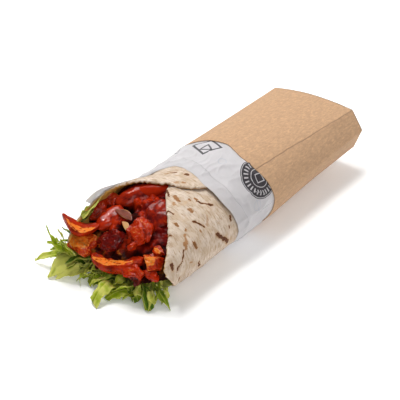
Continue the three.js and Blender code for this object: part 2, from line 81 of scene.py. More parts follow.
FOLD_ANGLES = (37.5, 142.5, 217.5, 322.5)      # where the sleeve's folds run, 0 = right, 90 = top
END_ANGLES = (0, 37.5, 142.5, 180, 217.5, 322.5, 360)
END_X = (END_TIP, END_TOP, -END_TOP, -END_TIP, -END_BASE, END_BASE, END_TIP)
END_Z = (END_TIP_Z, END_TOP_Z, END_TOP_Z, END_TIP_Z, END_BASE_Z, END_BASE_Z, END_TIP_Z)

# Front edges of the layers, (degrees, y)
SLEEVE_FRONT = ((0, -3.5), (37.5, -8.5), (60, -8), (90, -1.5), (120, -2.5), (142.5, -7), (180, -4),
                (230, -9), (320, -9), (360, -3.5))
PAPER_FRONT = ((0, -41.5), (30, -47), (60, -45.5), (90, -40), (120, -38), (134, -46), (145, -78),
               (155, -99), (163, -92), (182, -74), (202, -60), (225, -50), (250, -42), (300, -36),
               (360, -41.5))
ROLL_START, ROLL_TURN = 112.5, 427.5
BREAD_FRONT = ((0, -46), (25, -66), (44, -75.5), (60, -84), (82, -96.8), (100, -108), (107, -109.8),
               (117, -107), (130, -100), (165, -86), (200, -83), (235, -90), (262, -100), (290, -113.5),
               (302, -108), (317, -83.5), (340, -66), (357, -61.5), (376, -58.5), (393, -56),
               (409, -51), (417, -44), (427.5, -32))
HEAP = ((-125, 6), (-112, 20), (-105, 27), (-95, 35), (-85, 40), (-75, 43.5), (-55, 48))
HEAP_CROWN = 4.0
NOSE_FROM, NOSE_TO, NOSE_NARROWING = -92.0, -116.0, 0.35
HEAP_FACING = np.array([0.25, -0.62, 0.75])     # out of the heap at the mouth
OUTSIDE = 25.0      # farther from the roll than anything at its mouth reaches

# Chicken pieces: from, to, width, thickness, bend, kind, red to crimson (0 to 1), bare meat (0 to 1). A
# smooth one is a whole coated strip, a rough one is torn, a kite torn and pointed, a cut one shows its
# grained inside.
CHICKEN = (
    ((-27, -80, 37.5), (-9.5, -57.5, 43.5), 10.5, 8, 1.5, "smooth", 0.55, 0.0),
    ((-3.5, -69, 40.4), (12.3, -82.8, 36.4), 17, 10, 1, "smooth", 0.66, 0.0),
    ((-2.0, -84.2, 38.8), (11.8, -99.6, 28.2), 15.5, 10, 0.5, "kite", 0.26, 0.12),
    ((-31.5, -83, 35.5), (-29, -74, 38.5), 7.5, 7, 0, "rough", 0.35, 0.15),
    ((-21.5, -80.5, 35.5), (-25, -98.5, 29), 11, 8.5, 1.5, "smooth", 0.30, 0.0),
    ((-41.2, -112, 36), (-23.5, -101, 30), 9, 7, -2.2, "cut", 0.25, 0.50),
    ((-41.5, -108.5, 21.5), (-19.8, -107.5, 22.5), 13, 9.5, 0.5, "rough", 0.05, 0.85),
    ((-37, -95.5, 30), (-30, -80.5, 37), 11, 8.5, 0.5, "rough", 0.40, 0.0),
    ((-22.7, -101.2, 24.3), (-2.4, -99, 28.6), 14, 9, 1, "rough", 0.90, 0.0),
    ((-19.8, -112, 17.5), (14.5, -107, 25), 12, 8, -1.2, "cut", 0.30, 0.60),
    ((6.5, -113, 17), (19, -110, 20), 12, 10, 0.5, "rough", 0.15, 0.15),
    ((15, -104.8, 25), (26.5, -101.8, 26), 11.5, 10, 0.5, "rough", 0.10, 0.60),
    ((16.5, -110, 19.5), (29.5, -106.6, 21.5), 6.5, 5.5, 1, "rough", 0.20, 0.05),
    ((13.6, -95.6, 30.6), (22.9, -97.3, 28.4), 4.5, 4.5, 0.5, "rough", 0.25, 0.45),
    ((1.8, -102.4, 28.5), (6.5, -100.8, 30.2), 4, 4, 0, "rough", 0.10, 0.20),
)
ONION = (
    ((-21, -86, 37.8), (-5.8, -89, 37.9), 5, 1.4, 1.5),
    ((-10.7, -92.2, 36.5), (-5, -95.5, 34.3), 3.6, 1.4, 0.6),
)
# Thick sauce that runs between the chicken and the tortilla: from, to, width, thickness, tone, depth
# in the shade (1 is open, 0 is dark)
SAUCE_POOLS = (
    ((-24, -72, 41), (-2, -57, 46), 8, 5, 0.45, 1.0),
    ((2, -70, 40), (17, -79, 36), 11, 6, 0.45, 1.0),
    ((12, -80, 35), (24, -91, 28.5), 11, 5, 0.80, 0.40),
    ((17, -88, 30), (28, -100, 22), 9, 5, 0.95, 0.15),
)
# Deep gaps in the filling between the pieces, darkened by painted shade: x, y, radius, depth
GAPS = ((-17, -81, 6, 11), (-27, -92, 5, 10), (9, -104, 4, 5), (-9, -93, 4, 4))
DEEPEST_SHADE, SHADE_REACH = 0.88, 4        # how much light a deep gap loses, millimetres to its walls
CHICKEN_VOXEL, FILLING_VOXEL, SAUCE_VOXEL = 0.4, 0.75, 0.7
# The power of each kind's rounding: 1 is a diamond, 2 is round, and more is squarer
SQUARENESS = {"smooth": 2.4, "rough": 3.0, "kite": 1.5, "cut": 3.4, "slice": 3.0}
END_TAPER = 0.25

# Lettuce: root, tip, width, arch, bow, lean, outline, pale to dark green (0 to 1)
SHREDS = (
    ((-43, -116, 20), (-48.5, -119, 33), 3.2, 0, 2, -50, "point", 0.45),
    ((-41.5, -113, 17), (-44, -118, 25), 4.5, 1, 1, -40, "point", 0.60),
    ((-38.5, -113.5, 20), (-42.5, -115.5, 30), 4, 0, -1, 50, "kite", 0.30),
    ((-37.5, -109.5, 13), (-52, -115.5, 18), 6.5, 2, 1, -35, "point", 0.50),
    ((-38.5, -111, 12), (-50, -115.5, 13), 6.5, 2, 1, 30, "kite", 0.40),
    ((-34, -105.5, 21), (-43, -109, 27), 8, 1, 1, 50, "blunt", 0.85),
    ((-35, -105, 18), (-45, -111, 19), 10, 1, 0, 45, "kite", 0.60),
    ((-36.5, -105, 14), (-46.5, -112.5, 11), 9, 2, 1, -40, "blunt", 0.40),
    ((-38.5, -107, 12), (-62, -117.5, 1.5), 9.5, 2, 2, -38, "point", 0.30),
    ((-38, -108.5, 9), (-43.5, -126, 1), 16, 3, -1, -22, "kite", 0.04),
    ((-34, -109, 7), (-39, -120, 1.5), 9, 3, 1, 20, "kite", 0.12),
    ((-26, -110.5, 6), (-38.5, -124, 1), 8, 2, 1, -25, "point", 0.00),
    ((-15, -112, 7), (-26, -119, 2), 6.5, 3, -2, 30, "blunt", 0.30),
    ((-19.5, -114.5, 5), (-21, -121.5, 1), 3.5, 3, -4, 30, "point", 0.35),
    ((-22, -108, 9), (-30, -113, 7), 3, 1, 1, -30, "point", 0.10),
    ((-22, -103, 14), (-38, -111, 9), 13, 2, 1, 10, "blunt", 0.92),
    ((-24, -106, 6), (-37, -115, 3), 12, 2, 0, -10, "blunt", 0.80),
    ((-12, -106, 5), (-16, -116, 2), 10, 2, 0, -10, "blunt", 0.70),
    ((-17.5, -106, 12), (-25, -110.5, 8), 7, 2, 1, 30, "blunt", 0.50),
    ((-12.5, -106.5, 10), (-19, -111.5, 6), 8, 2, 1, -20, "kite", 0.05),
    ((0.5, -109, 9), (-11.5, -115, 5), 9, 2, -1, -24, "blunt", 0.95),
    ((-3.5, -115.5, 8), (-3.5, -130, 1), 11, 3, 1, -12, "blunt", 0.32),
    ((-6.5, -114.5, 9), (-14, -120, 5), 7, 2, 1, 25, "kite", 0.20),
    ((11, -108.5, 8), (-1, -114, 3), 10, 2, 2, 26, "blunt", 0.42),
    ((9, -111, 5), (0, -122, 1), 9, 2, -1, -14, "blunt", 0.55),
    ((16, -108.5, 6), (8, -117, 1.5), 8, 2, 1, 12, "kite", 0.65),
    ((11, -107, 8), (15.5, -112, 1), 6, 2, -1, 20, "blunt", 0.90),
    ((15, -108, 8), (24.5, -116, 1), 6.5, 3, 1, 24, "point", 0.65),
    ((18, -106, 9), (27, -114.5, 1), 6.5, 3, -1, -25, "blunt", 0.90),
    ((21, -102.5, 8), (36, -107.5, 1), 6, 3, -1, 16, "point", 0.78),
    ((22, -102, 7), (28.5, -105.5, 1), 5.5, 3, 1, -30, "kite", 0.35),
    ((22, -102.5, 10), (28, -99, 2), 7, 2, 1, -20, "blunt", 0.05),
    ((21.5, -97, 19), (26, -97, 2), 12, 2, 0, 50, "kite", 0.14),
)
SHRED_THICKNESS, RUFFLE, SHRED_TIP, SKEW = 0.6, 0.7, 0.6, 0.5

# Brown griddle marks on the tortilla: (turn, y) to (turn, y), width, darkness. The turn is in degrees
# of roll from the tortilla's inner end.
GRIDDLE_MARKS = (
    ((359, -47.3), (367, -45.2), 1.5, 0.8), ((355, -49), (357, -48.6), 1.2, 0.4),
    ((380, -44.3), (382.5, -43.6), 2.2, 0.8), ((391, -52.8), (393, -52.3), 1.8, 0.55),
    ((381, -55), (384, -54.5), 2.4, 0.35), ((338, -51.5), (341, -51.2), 1.6, 0.25),
    ((19, -62.5), (33, -67.6), 1.5, 0.95), ((37.5, -65), (48, -67.6), 2.4, 0.6),
    ((46, -71.5), (50, -72.2), 2, 0.45), ((51, -79.6), (60, -78.9), 1.4, 0.95),
    ((54.5, -61.6), (56.5, -61.4), 1.5, 0.65), ((58.5, -57.6), (60.5, -57.2), 1.8, 0.6),
    ((62.5, -58.6), (77, -51.4), 1.5, 0.85), ((66.5, -68), (69.5, -68), 2.8, 0.6),
    ((79, -73), (90, -68.2), 1.7, 0.95), ((70.5, -84), (73, -84), 2.6, 0.65),
    ((81, -81), (82, -82), 1.6, 0.6), ((86, -84.5), (94, -87), 1.8, 0.5),
    ((75, -94), (77.5, -93.2), 2, 0.8), ((104, -61.4), (115, -56), 2.8, 1.0),
    ((115, -55), (123, -50.6), 3.2, 1.0), ((97, -45.7), (101, -45.5), 2, 0.95),
    ((105, -49.2), (108, -49), 1.5, 0.8), ((91, -73), (93, -72.5), 1.6, 0.55),
    ((97, -81.8), (103, -81.6), 2.6, 0.7), ((92, -88.5), (98, -88.8), 2, 0.55),
    ((98, -91), (112, -101.5), 1.3, 0.95), ((102, -104.2), (108, -104.4), 2.8, 0.9),
    ((112, -89), (114, -87), 1.5, 0.5), ((119, -80.5), (126, -79), 1.6, 0.9),
    ((121, -98.5), (125, -99), 2, 0.7), ((82, -61), (90, -64.6), 1.3, 0.3),
)
MARK_REACH = 0.47       # from a mark's middle line to its edge, as a share of its width
HIDDEN_MARKS = 46


def row_frame(points):
    """Points in millimetres along the roll, as metres in the model's frame."""
    return np.asarray(points, float) * MM + FRAME_SHIFT


SLEEVE_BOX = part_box("card_sleeve")
FRAME_SHIFT = np.array([SLEEVE_BOX[1].x - MOUTH_HALF_WIDTH * MM, SLEEVE_BOX[1].y - SLEEVE_LENGTH * MM, 0])


# ---- Numbers ----

def ease(a, b, value):
    """0 at a, 1 at b, smooth between."""
    t = np.clip((np.asarray(value, float) - a) / (b - a), 0, 1)
    return t * t * (3 - 2 * t)


def noise(points, size, seed=0):
    """Smooth bumps from about -1 to 1 over points; size is the size of a bump, one number or three.
    Each corner of a cell scrambles its place and the seed into a slope of its own."""
    q = np.asarray(points, float) / np.asarray(size, float) + 31.7 * seed
    cell = np.floor(q).astype(np.int64)
    inside = q - cell
    weight = inside ** 3 * (inside * (inside * 6 - 15) + 10)
    total = np.zeros(q.shape[:-1])
    for corner in product((0, 1), repeat=3):
        at = cell + corner
        number = (at[..., 0] * 73856093) ^ (at[..., 1] * 19349663) ^ (at[..., 2] * 83492791)
        number = (number ^ (number >> 13)) * 1274126177
        number = number ^ (number >> 16)
        slope = np.stack([((number >> bits) & 1023) / 511.5 - 1 for bits in (0, 10, 20)], -1)
        share = np.where(corner, weight, 1 - weight).prod(-1)
        total += share * (slope * (inside - corner)).sum(-1)
    return total * 1.5


def rough(points, size, octaves=3, seed=0):
    """Noise with finer and finer bumps added."""
    size = np.asarray(size, float)
    return sum(noise(points, size / 2 ** k, seed + k) / 2 ** k for k in range(octaves))


def noise_along(measure, size, seed):
    """Noise that changes along one measure alone."""
    return noise(np.stack([measure, 0 * measure, 0 * measure], -1), size, seed)


def ridges(points, size, octaves=2, seed=0):
    """Noise with sharp crests, from 0 to 1."""
    size = np.asarray(size, float)
    crests = [(1 - np.abs(noise(points, size / 2 ** k, seed + k))) / 2 ** k for k in range(octaves)]
    return sum(crests) / (2 - 0.5 ** (octaves - 1))


def edge_of(stations, angle, soften=3.0, around=True):
    """A front edge at these angles, with the corners between its stations softened."""
    at, y = np.array(stations, float).T
    period = 360 if around else None
    return np.mean([np.interp(angle + off, at, y, period=period) for off in (-soften, 0, soften)], axis=0)


# ---- The roll ----

def envelope(angle, y):
    """Outermost surface of the roll, at an angle in degrees and a length."""
    angle, y = np.broadcast_arrays(np.asarray(angle, float), np.asarray(y, float))
    degrees = np.mod(angle, 360)
    c, s = np.cos(np.radians(degrees)), np.sin(np.radians(degrees))
    t = np.clip(y / SLEEVE_LENGTH, 0, 1)
    under = ease(0.6, 1, -s)
    fold = t + (t ** LIE_FLAT - t) * under
    n = MOUTH_ROUNDNESS
    r = (np.abs(c / MOUTH_HALF_WIDTH) ** n + np.abs(s / MOUTH_HALF_HEIGHT) ** n) ** (-1 / n)
    end_x = np.interp(degrees, END_ANGLES, END_X)
    arched = (degrees > FOLD_ANGLES[0]) & (degrees < FOLD_ANGLES[1])
    end_z = np.interp(degrees, END_ANGLES, END_Z) + arched * END_CROWN * (1 - (end_x / END_TOP) ** 2)
    end_z = end_z + END_ROLL * end_x
    shift_x, shift_z = mouth_shift(degrees, y)
    x = r * c + (end_x + END_SHIFT - r * c) * fold + shift_x
    mouth_z = AXIS_HEIGHT + r * s
    z = np.maximum(mouth_z + (end_z - mouth_z) * fold, 0) + shift_z
    return np.stack([x, y, z], -1)


def mouth_shift(degrees, y):
    """How far the open end has settled down and, at its upper left, opened out."""
    away = np.clip((np.mod(degrees, 360) - FLARE_ANGLE) / FLARE_SPREAD, -1, 1)
    flare = FLARE * ease(FLARE_FROM, FLARE_TO, y) * np.cos(away * math.pi / 2) ** 2
    return -FLARE_LEFT * flare, FLARE_UP * flare - SETTLE * ease(SETTLE_FROM, SETTLE_TO, y)


def inward(angle, y):
    """Unit vector into the roll."""
    tangent = envelope(angle + SLOPE_STEP, y) - envelope(angle - SLOPE_STEP, y)
    tangent /= np.linalg.norm(tangent, axis=-1, keepdims=True)
    return np.stack([-tangent[..., 2], 0 * tangent[..., 1], tangent[..., 0]], -1)


def layer(angle, y, depth):
    """A surface that lies depth millimetres inside the envelope."""
    return envelope(angle, y) + inward(angle, y) * np.asarray(depth, float)[..., None]


def arc_length(angle):
    """Millimetres round the roll to each angle, measured from 0 degrees on its open part."""
    fine = np.arange(-360, 720, 1.0)
    points = envelope(fine, GIRTH_AT)
    length = np.concatenate([[0], np.cumsum(np.linalg.norm(np.diff(points, axis=0), axis=1))])
    return np.interp(angle, fine, length) - np.interp(0, fine, length)


def nose(y):
    """How wide the filling still is at this length, 1 inside the roll."""
    return 1 - NOSE_NARROWING * ease(NOSE_FROM, NOSE_TO, y)


def heap_height(x, y):
    """Height of the heap of chicken over the table."""
    at, height = np.array(HEAP, float).T
    return np.interp(y, at, height) - HEAP_CROWN * (x / (MOUTH_HALF_WIDTH - 2)) ** 2


def bed_top(y):
    """Height of the lettuce's top, under the chicken."""
    return layer(270.0, y, FILLING_DEPTH + 0 * np.asarray(y, float))[..., 2] + BED_HEIGHT


def tail_taper(y):
    """How much deeper the soft layers lie towards the far end."""
    return TAIL_TAPER * ease(TAPER_FROM, BREAD_END, y)


def bread_depth(turn, y):
    """Depth of the tortilla's outer face, deeper where its start lies under its end."""
    wrapped = BREAD_DEPTH + (BREAD_WRAPPED_DEPTH - BREAD_DEPTH) * ease(-62, -49, y)
    return wrapped + tail_taper(y) + LAP_STEP * ease(135, 72, turn)


def keep_inside(points, gap):
    """Points pulled in to stay clear of the tortilla's inner face, where there is tortilla round them."""
    x, y, z = points.T
    angle = np.degrees(np.arctan2(z - AXIS_HEIGHT, x))
    for _ in range(3):
        shift_x, shift_z = mouth_shift(angle, y)
        across, up = x - shift_x, z - AXIS_HEIGHT - shift_z
        angle = np.degrees(np.arctan2(up, across))
    turn = np.mod(ROLL_START - angle, 360)
    depth = np.full(len(points), -OUTSIDE)
    for lap in (0, 360):
        behind_edge = y - edge_of(BREAD_FRONT, turn + lap, 3.5, around=False)
        covered = ease(-1.5, 2.0, behind_edge) * (turn + lap <= ROLL_TURN)
        inner = bread_depth(turn + lap, y) + BREAD_THICKNESS + gap
        depth = np.maximum(depth, covered * (inner + OUTSIDE) - OUTSIDE)
    edge = layer(angle, y, depth)
    reach = np.hypot(edge[:, 0] - shift_x, edge[:, 2] - AXIS_HEIGHT - shift_z)
    scale = np.minimum(1, reach / np.maximum(np.hypot(across, up), 0.1))
    return np.stack([shift_x + across * scale, y, AXIS_HEIGHT + shift_z + up * scale], -1)


# ---- Meshes ----

def stand(name, data, place=None, turn=None):
    """Puts a mesh, light or camera in the scene, at the origin where no place is given."""
    made = bpy.data.objects.new(name, data)
    if place is not None:
        made.location = place
        made.rotation_euler = turn.to_euler()
    bpy.context.scene.collection.objects.link(made)
    return made


class Shell:
    """Points, faces and per-point fields that grow piece by piece into one mesh."""

    def __init__(self):
        self.points, self.faces, self.fields, self.count = [], [], {}, 0

    def add(self, points, faces, **fields):
        """One more part. A field has one value for each of its points, or one for all of them."""
        points = np.asarray(points, float).reshape(-1, 3)
        self.faces += [[int(corner) + self.count for corner in face] for face in faces]
        self.points.append(points)
        for name, value in fields.items():
            value = np.asarray(value, float)
            value = value.reshape(len(points), -1) if value.size >= len(points) else value.reshape(1, -1)
            self.fields.setdefault(name, []).append(np.broadcast_to(value, (len(points), value.shape[1])))
        self.count += len(points)

    def piece(self, name, material):
        """The mesh as an object at the origin, in the model's frame, with nothing below the table."""
        points = np.concatenate(self.points)
        points[:, 2] = np.maximum(points[:, 2], 0)
        mesh = bpy.data.meshes.new(name)
        mesh.from_pydata(row_frame(points).tolist(), [], self.faces)
        for field, parts in self.fields.items():
            values = np.concatenate(parts)
            flat = values.shape[1] == 1
            kind, key = ("FLOAT", "value") if flat else ("FLOAT_VECTOR", "vector")
            attribute = mesh.attributes.new(field, kind, "POINT")
            attribute.data.foreach_set(key, values.astype(np.float32).ravel())
        mesh.polygons.foreach_set("use_smooth", [True] * len(mesh.polygons))
        mesh.materials.append(material)
        return stand(name, mesh)


def finish_piece(piece, slot, *nodes):
    """The piece rides on the part's body, in place of these solids. Its slot is not used."""
    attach(piece, "root")
    if nodes:
        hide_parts(*nodes)
    return piece


def grid_faces(rows, columns, wraps):
    """Quads over a grid of points."""
    spans = np.arange(columns if wraps else columns - 1)
    row, column = np.meshgrid(np.arange(rows - 1), spans, indexing="ij")
    after = (column + 1) % columns
    corners = [row * columns + column, row * columns + after,
               (row + 1) * columns + after, (row + 1) * columns + column]
    return np.stack(corners, -1).reshape(-1, 4)


def folded_sheet(outer, inner, wraps, rounds=3):
    """A sheet with thickness as one grid, from the back of its inner face, round its front edge, to
    the back of its outer face. Gives points, faces and how far outward each point is, 0 to 1."""
    ahead = outer[0] - outer[1] + inner[0] - inner[1]
    ahead /= np.linalg.norm(ahead, axis=-1, keepdims=True)
    middle, half = (outer[0] + inner[0]) / 2, (outer[0] - inner[0]) / 2
    bulge = ahead * np.linalg.norm(half, axis=-1, keepdims=True)
    turns = np.pi * (np.arange(rounds) + 1) / (rounds + 1)
    edge = np.stack([middle - half * np.cos(t) + bulge * np.sin(t) for t in turns])
    points = np.concatenate([inner[::-1], edge, outer])
    rows, columns = points.shape[:2]
    faces = [grid_faces(rows, columns, wraps)]
    spans = np.arange(columns if wraps else columns - 1)
    last = (rows - 1) * columns
    faces.append(np.stack([(spans + 1) % columns, spans, last + spans, last + (spans + 1) % columns], -1))
    if not wraps:
        near = np.arange((rows - 1) // 2)
        far = rows - 1 - near
        for column, flip in ((0, 1), (columns - 1, -1)):
            strip = np.stack([near, near + 1, far - 1, far], -1)[:, ::flip] * columns + column
            faces.append(strip)
    outward = np.concatenate([np.zeros(len(inner)), (1 - np.cos(turns)) / 2, np.ones(len(outer))])
    return points, np.concatenate(faces), np.broadcast_to(outward[:, None], (rows, columns))


def remeshed(shells, voxel):
    """One closed skin round several closed shells, as points, faces and normals."""
    joined = Shell()
    for points, faces in shells:
        joined.add(points, faces)
    mesh = bpy.data.meshes.new("remesh")
    mesh.from_pydata(np.concatenate(joined.points).tolist(), [], joined.faces)
    source = stand("remesh", mesh)
    remesh = source.modifiers.new("remesh", "REMESH")
    remesh.mode, remesh.voxel_size = "VOXEL", voxel
    smooth = source.modifiers.new("smooth", "SMOOTH")
    smooth.factor, smooth.iterations = 0.5, 3
    done = source.evaluated_get(bpy.context.evaluated_depsgraph_get()).to_mesh()
    points = np.zeros(len(done.vertices) * 3)
    normals = np.zeros(len(done.vertices) * 3)
    done.vertices.foreach_get("co", points)
    done.vertices.foreach_get("normal", normals)
    faces = [list(polygon.vertices) for polygon in done.polygons]
    source.to_mesh_clear()
    bpy.data.objects.remove(source)
    bpy.data.meshes.remove(mesh)
    return points.reshape(-1, 3), faces, normals.reshape(-1, 3)


def ball(detail):
    """A cube's faces, each a grid, pushed out to a box of half size 1: points and quads."""
    steps = np.linspace(-1, 1, detail + 1)
    across, up = np.meshgrid(steps, steps)
    points, faces = [], []
    for axis, way in product(range(3), (-1, 1)):
        side = np.zeros((detail + 1, detail + 1, 3))
        side[..., axis], side[..., (axis + 1) % 3], side[..., (axis + 2) % 3] = way, across * way, up
        faces.append(grid_faces(detail + 1, detail + 1, False) + len(points) * (detail + 1) ** 2)
        points.append(side.reshape(-1, 3))
    return np.concatenate(points), np.concatenate(faces)


def morsel_axes(start, end):
    """A bar's own directions: along it, across it and out of the heap."""
    axis = (end - start) / np.linalg.norm(end - start)
    side = np.cross(HEAP_FACING, axis)
    side /= np.linalg.norm(side)
    return axis, side, np.cross(axis, side)


def morsel(start, end, width, thickness, bend, kind, detail=14):
    """A rounded bar between two points, as the solids have it."""
    start, end = np.array(start, float), np.array(end, float)
    squareness = SQUARENESS[kind]
    points, faces = ball(detail)
    points = points * (np.abs(points) ** squareness).sum(-1, keepdims=True) ** (-1 / squareness)
    taper = 1 - END_TAPER * points[:, :1] ** 2
    axis, side, up = morsel_axes(start, end)
    length = np.linalg.norm(end - start)
    place = (start + end) / 2 + points[:, :1] * axis * length / 2
    place = place + points[:, 1:2] * side * width / 2 * taper
    return place + up * (points[:, 2:] * thickness / 2 * taper + bend * (points[:, :1] ** 2 - 0.4)), faces


# ---- Shader helpers: a socket or a plain number or colour may stand for each value ----

def feed(tree, made, inputs):
    """Fills a node's inputs. One given as a socket is linked, and any other value is set."""
    for key, value in inputs.items():
        if isinstance(value, bpy.types.NodeSocket):
            tree.links.new(value, made.inputs[key])
        else:
            made.inputs[key].default_value = value
    return made


def node(tree, kind, inputs, **settings):
    """A shader node with its settings and inputs."""
    made = tree.nodes.new("ShaderNode" + kind)
    for key, value in settings.items():
        setattr(made, key, value)
    return feed(tree, made, inputs)


def calc(tree, operation, a, b=0.0):
    return node(tree, "Math", {0: a, 1: b}, operation=operation).outputs[0]


def vector_calc(tree, operation, a, b=(0, 0, 0)):
    return node(tree, "VectorMath", {0: a, 1: b}, operation=operation).outputs


def times(tree, first, *others):
    for other in others:
        first = calc(tree, "MULTIPLY", first, other)
    return first


def plus(tree, first, *others):
    for other in others:
        first = calc(tree, "ADD", first, other)
    return first


def minus(tree, a, b):
    return calc(tree, "SUBTRACT", a, b)


def mixed(tree, factor, a, b, blend="MIX"):
    return node(tree, "Mix", {0: factor, 6: a, 7: b}, data_type="RGBA", blend_type=blend).outputs[2]


def darkened(tree, colour, share):
    """The colour times a share, from 0 for black to 1."""
    grey = node(tree, "CombineXYZ", {0: share, 1: share, 2: share}).outputs[0]
    return mixed(tree, 1.0, colour, grey, "MULTIPLY")


def window(tree, value, low, high, to_low=0.0, to_high=1.0):
    """Smoothly from to_low below low to to_high above high."""
    ends = {"Value": value, "From Min": low, "From Max": high, "To Min": to_low, "To Max": to_high}
    return node(tree, "MapRange", ends, interpolation_type="SMOOTHSTEP").outputs[0]


def field(tree, name, socket="Fac"):
    """A value that the mesh holds for each point."""
    return node(tree, "Attribute", {}, attribute_name=name).outputs[socket]


def stretched(tree, vector, x, y, z):
    return vector_calc(tree, "MULTIPLY", vector, (x, y, z))[0]


def cloud(tree, vector, scale, detail=3.0, roughness=0.55, distortion=0.0):
    inputs = {"Vector": vector, "Scale": scale, "Detail": detail, "Roughness": roughness,
              "Distortion": distortion}
    return node(tree, "TexNoise", inputs).outputs["Fac"]


def opaque(colour, *shares):
    """The colour with full alpha, times one share, or a share for each of red, green and blue."""
    shares = shares if len(shares) == 3 else (shares or (1,)) * 3
    return (*(value * share for value, share in zip(colour, shares)), 1.0)


def new_group(name, inputs, outputs):
    """An empty node group with these sockets, each input as (name, kind, default). Gives its tree, what
    it is given and the node of what it puts out."""
    tree = bpy.data.node_groups.new(name, "ShaderNodeTree")
    for label, kind, default in inputs:
        socket = tree.interface.new_socket(label, in_out="INPUT", socket_type="NodeSocket" + kind)
        if default is not None:
            socket.default_value = default
    for label, kind in outputs:
        tree.interface.new_socket(label, in_out="OUTPUT", socket_type="NodeSocket" + kind)
    return tree, tree.nodes.new("NodeGroupInput").outputs, tree.nodes.new("NodeGroupOutput")


def placed(tree, group, inputs):
    """One of the shared node groups in a material, with its own values."""
    made = tree.nodes.new("ShaderNodeGroup")
    made.node_tree = bpy.data.node_groups[group]
    return feed(tree, made, inputs).outputs


def make_mottle_group():
    """Cloudy blotches between two colours, such as pulp in card or browning on bread."""
    tree, given, out = new_group(
        "Mottle",
        [("Vector", "Vector", None), ("Scale", "Float", 100.0), ("Contrast", "Float", 1.0),
         ("Low Colour", "Color", (0, 0, 0, 1)), ("High Colour", "Color", (1, 1, 1, 1))],
        [("Colour", "Color")])
    broad = cloud(tree, given["Vector"], given["Scale"], 4.0, 0.6, 0.4)
    spread = plus(tree, times(tree, minus(tree, broad, 0.5), given["Contrast"]), 0.5)
    high = window(tree, spread, 0.25, 0.75)
    feed(tree, out, {"Colour": mixed(tree, high, given["Low Colour"], given["High Colour"])})


def make_fibre_group():
    """Fine threads along the first axis of the vector, such as pulp, bread streaks or onion veins."""
    tree, given, out = new_group(
        "Fibre",
        [("Vector", "Vector", None), ("Scale", "Float", 500.0), ("Length", "Float", 6.0)],
        [("Height", "Float"), ("Mask", "Float")])
    squeeze = node(tree, "CombineXYZ", {0: calc(tree, "DIVIDE", 1.0, given["Length"]), 1: 1.0, 2: 1.0})
    along = vector_calc(tree, "MULTIPLY", given["Vector"], squeeze.outputs[0])[0]
    threads = cloud(tree, along, given["Scale"], 3.0, 0.6, 0.6)
    feed(tree, out, {"Height": threads, "Mask": window(tree, threads, 0.52, 0.66)})


def make_outline_group():
    """A drawn outline with straight sides, or a ring where it has many, on printed paper."""
    tree, given, out = new_group(
        "Printed Outline",
        [("Vector", "Vector", None), ("Centre", "Vector", (0, 0, 0)), ("Radius", "Float", 6.0),
         ("Sides", "Float", 4.0), ("Turn", "Float", 0.0), ("Line", "Float", 0.5)],
        [("Line", "Float"), ("Inside", "Float"), ("Distance", "Float"), ("Angle", "Float")])
    place = vector_calc(tree, "SUBTRACT", given["Vector"], given["Centre"])[0]
    apart = node(tree, "SeparateXYZ", {0: place}).outputs
    angle = plus(tree, calc(tree, "ARCTAN2", apart[1], apart[0]), given["Turn"])
    sector = calc(tree, "DIVIDE", 2 * math.pi, given["Sides"])
    half_sector = calc(tree, "DIVIDE", sector, 2.0)
    from_middle = minus(tree, calc(tree, "FLOORED_MODULO", angle, sector), half_sector)
    reach = vector_calc(tree, "LENGTH", place)["Value"]
    distance = times(tree, reach, calc(tree, "COSINE", from_middle))
    beyond = minus(tree, distance, given["Radius"])
    off_line = minus(tree, calc(tree, "ABSOLUTE", beyond), calc(tree, "DIVIDE", given["Line"], 2.0))
    feed(tree, out, {"Line": window(tree, off_line, 0.0, 0.15, 1.0, 0.0),
                     "Inside": window(tree, beyond, -0.08, 0.08, 1.0, 0.0),
                     "Distance": reach, "Angle": angle})


def make_sauced_group():
    """Red sauce over cooked meat: thin and bright where it stands out, thick and dark in the hollows, with
    painted shade in the hollows and between pieces.
    """
    tree, given, out = new_group(
        "Sauced Meat",
        [("Vector", "Vector", None), ("Tone", "Float", 0.3), ("Meat", "Float", 0.0), ("Crag", "Float", 0.0),
         ("Wander", "Float", 1.0), ("Shade", "Float", 1.0),
         ("Bright Sauce", "Color", (0.5, 0.05, 0.01, 1)), ("Dark Sauce", "Color", (0.1, 0.01, 0.01, 1)),
         ("Orange Meat", "Color", (0.6, 0.2, 0.04, 1)), ("Pale Meat", "Color", (0.7, 0.4, 0.2, 1))],
        [("Colour", "Color"), ("Roughness", "Float"), ("Height", "Float")])
    broad = cloud(tree, given["Vector"], 150.0, 3.0)
    fine = cloud(tree, given["Vector"], 700.0, 3.0, 0.65)
    wander = times(tree, minus(tree, broad, 0.5), given["Wander"])
    # lower points take the thicker, darker sauce tone: partly real colour, partly painted shade
    lower = times(tree, given["Crag"], -0.35)
    tone = window(tree, plus(tree, given["Tone"], wander, lower), 0.05, 0.95)
    sauce = mixed(tree, tone, given["Bright Sauce"], given["Dark Sauce"])
    meat = mixed(tree, window(tree, fine, 0.45, 0.68), given["Orange Meat"], given["Pale Meat"])
    bare = plus(tree, given["Meat"], minus(tree, fine, 0.5), times(tree, given["Crag"], 0.3))
    shown = window(tree, bare, 0.3, 0.8)
    # painted shade: darker in the crag's hollows and where the shade field puts a point between pieces
    hollow_shade = times(tree, window(tree, given["Crag"], -1.6, 0.1, 0.35, 1.0), given["Shade"])
    dry = window(tree, plus(tree, fine, times(tree, shown, 0.3)), 0.3, 0.95, 0.10, 0.42)
    covered = times(tree, minus(tree, 1.0, given["Shade"]), 0.6)
    feed(tree, out, {"Colour": darkened(tree, mixed(tree, shown, sauce, meat), hollow_shade),
                     "Roughness": plus(tree, dry, covered), "Height": fine})


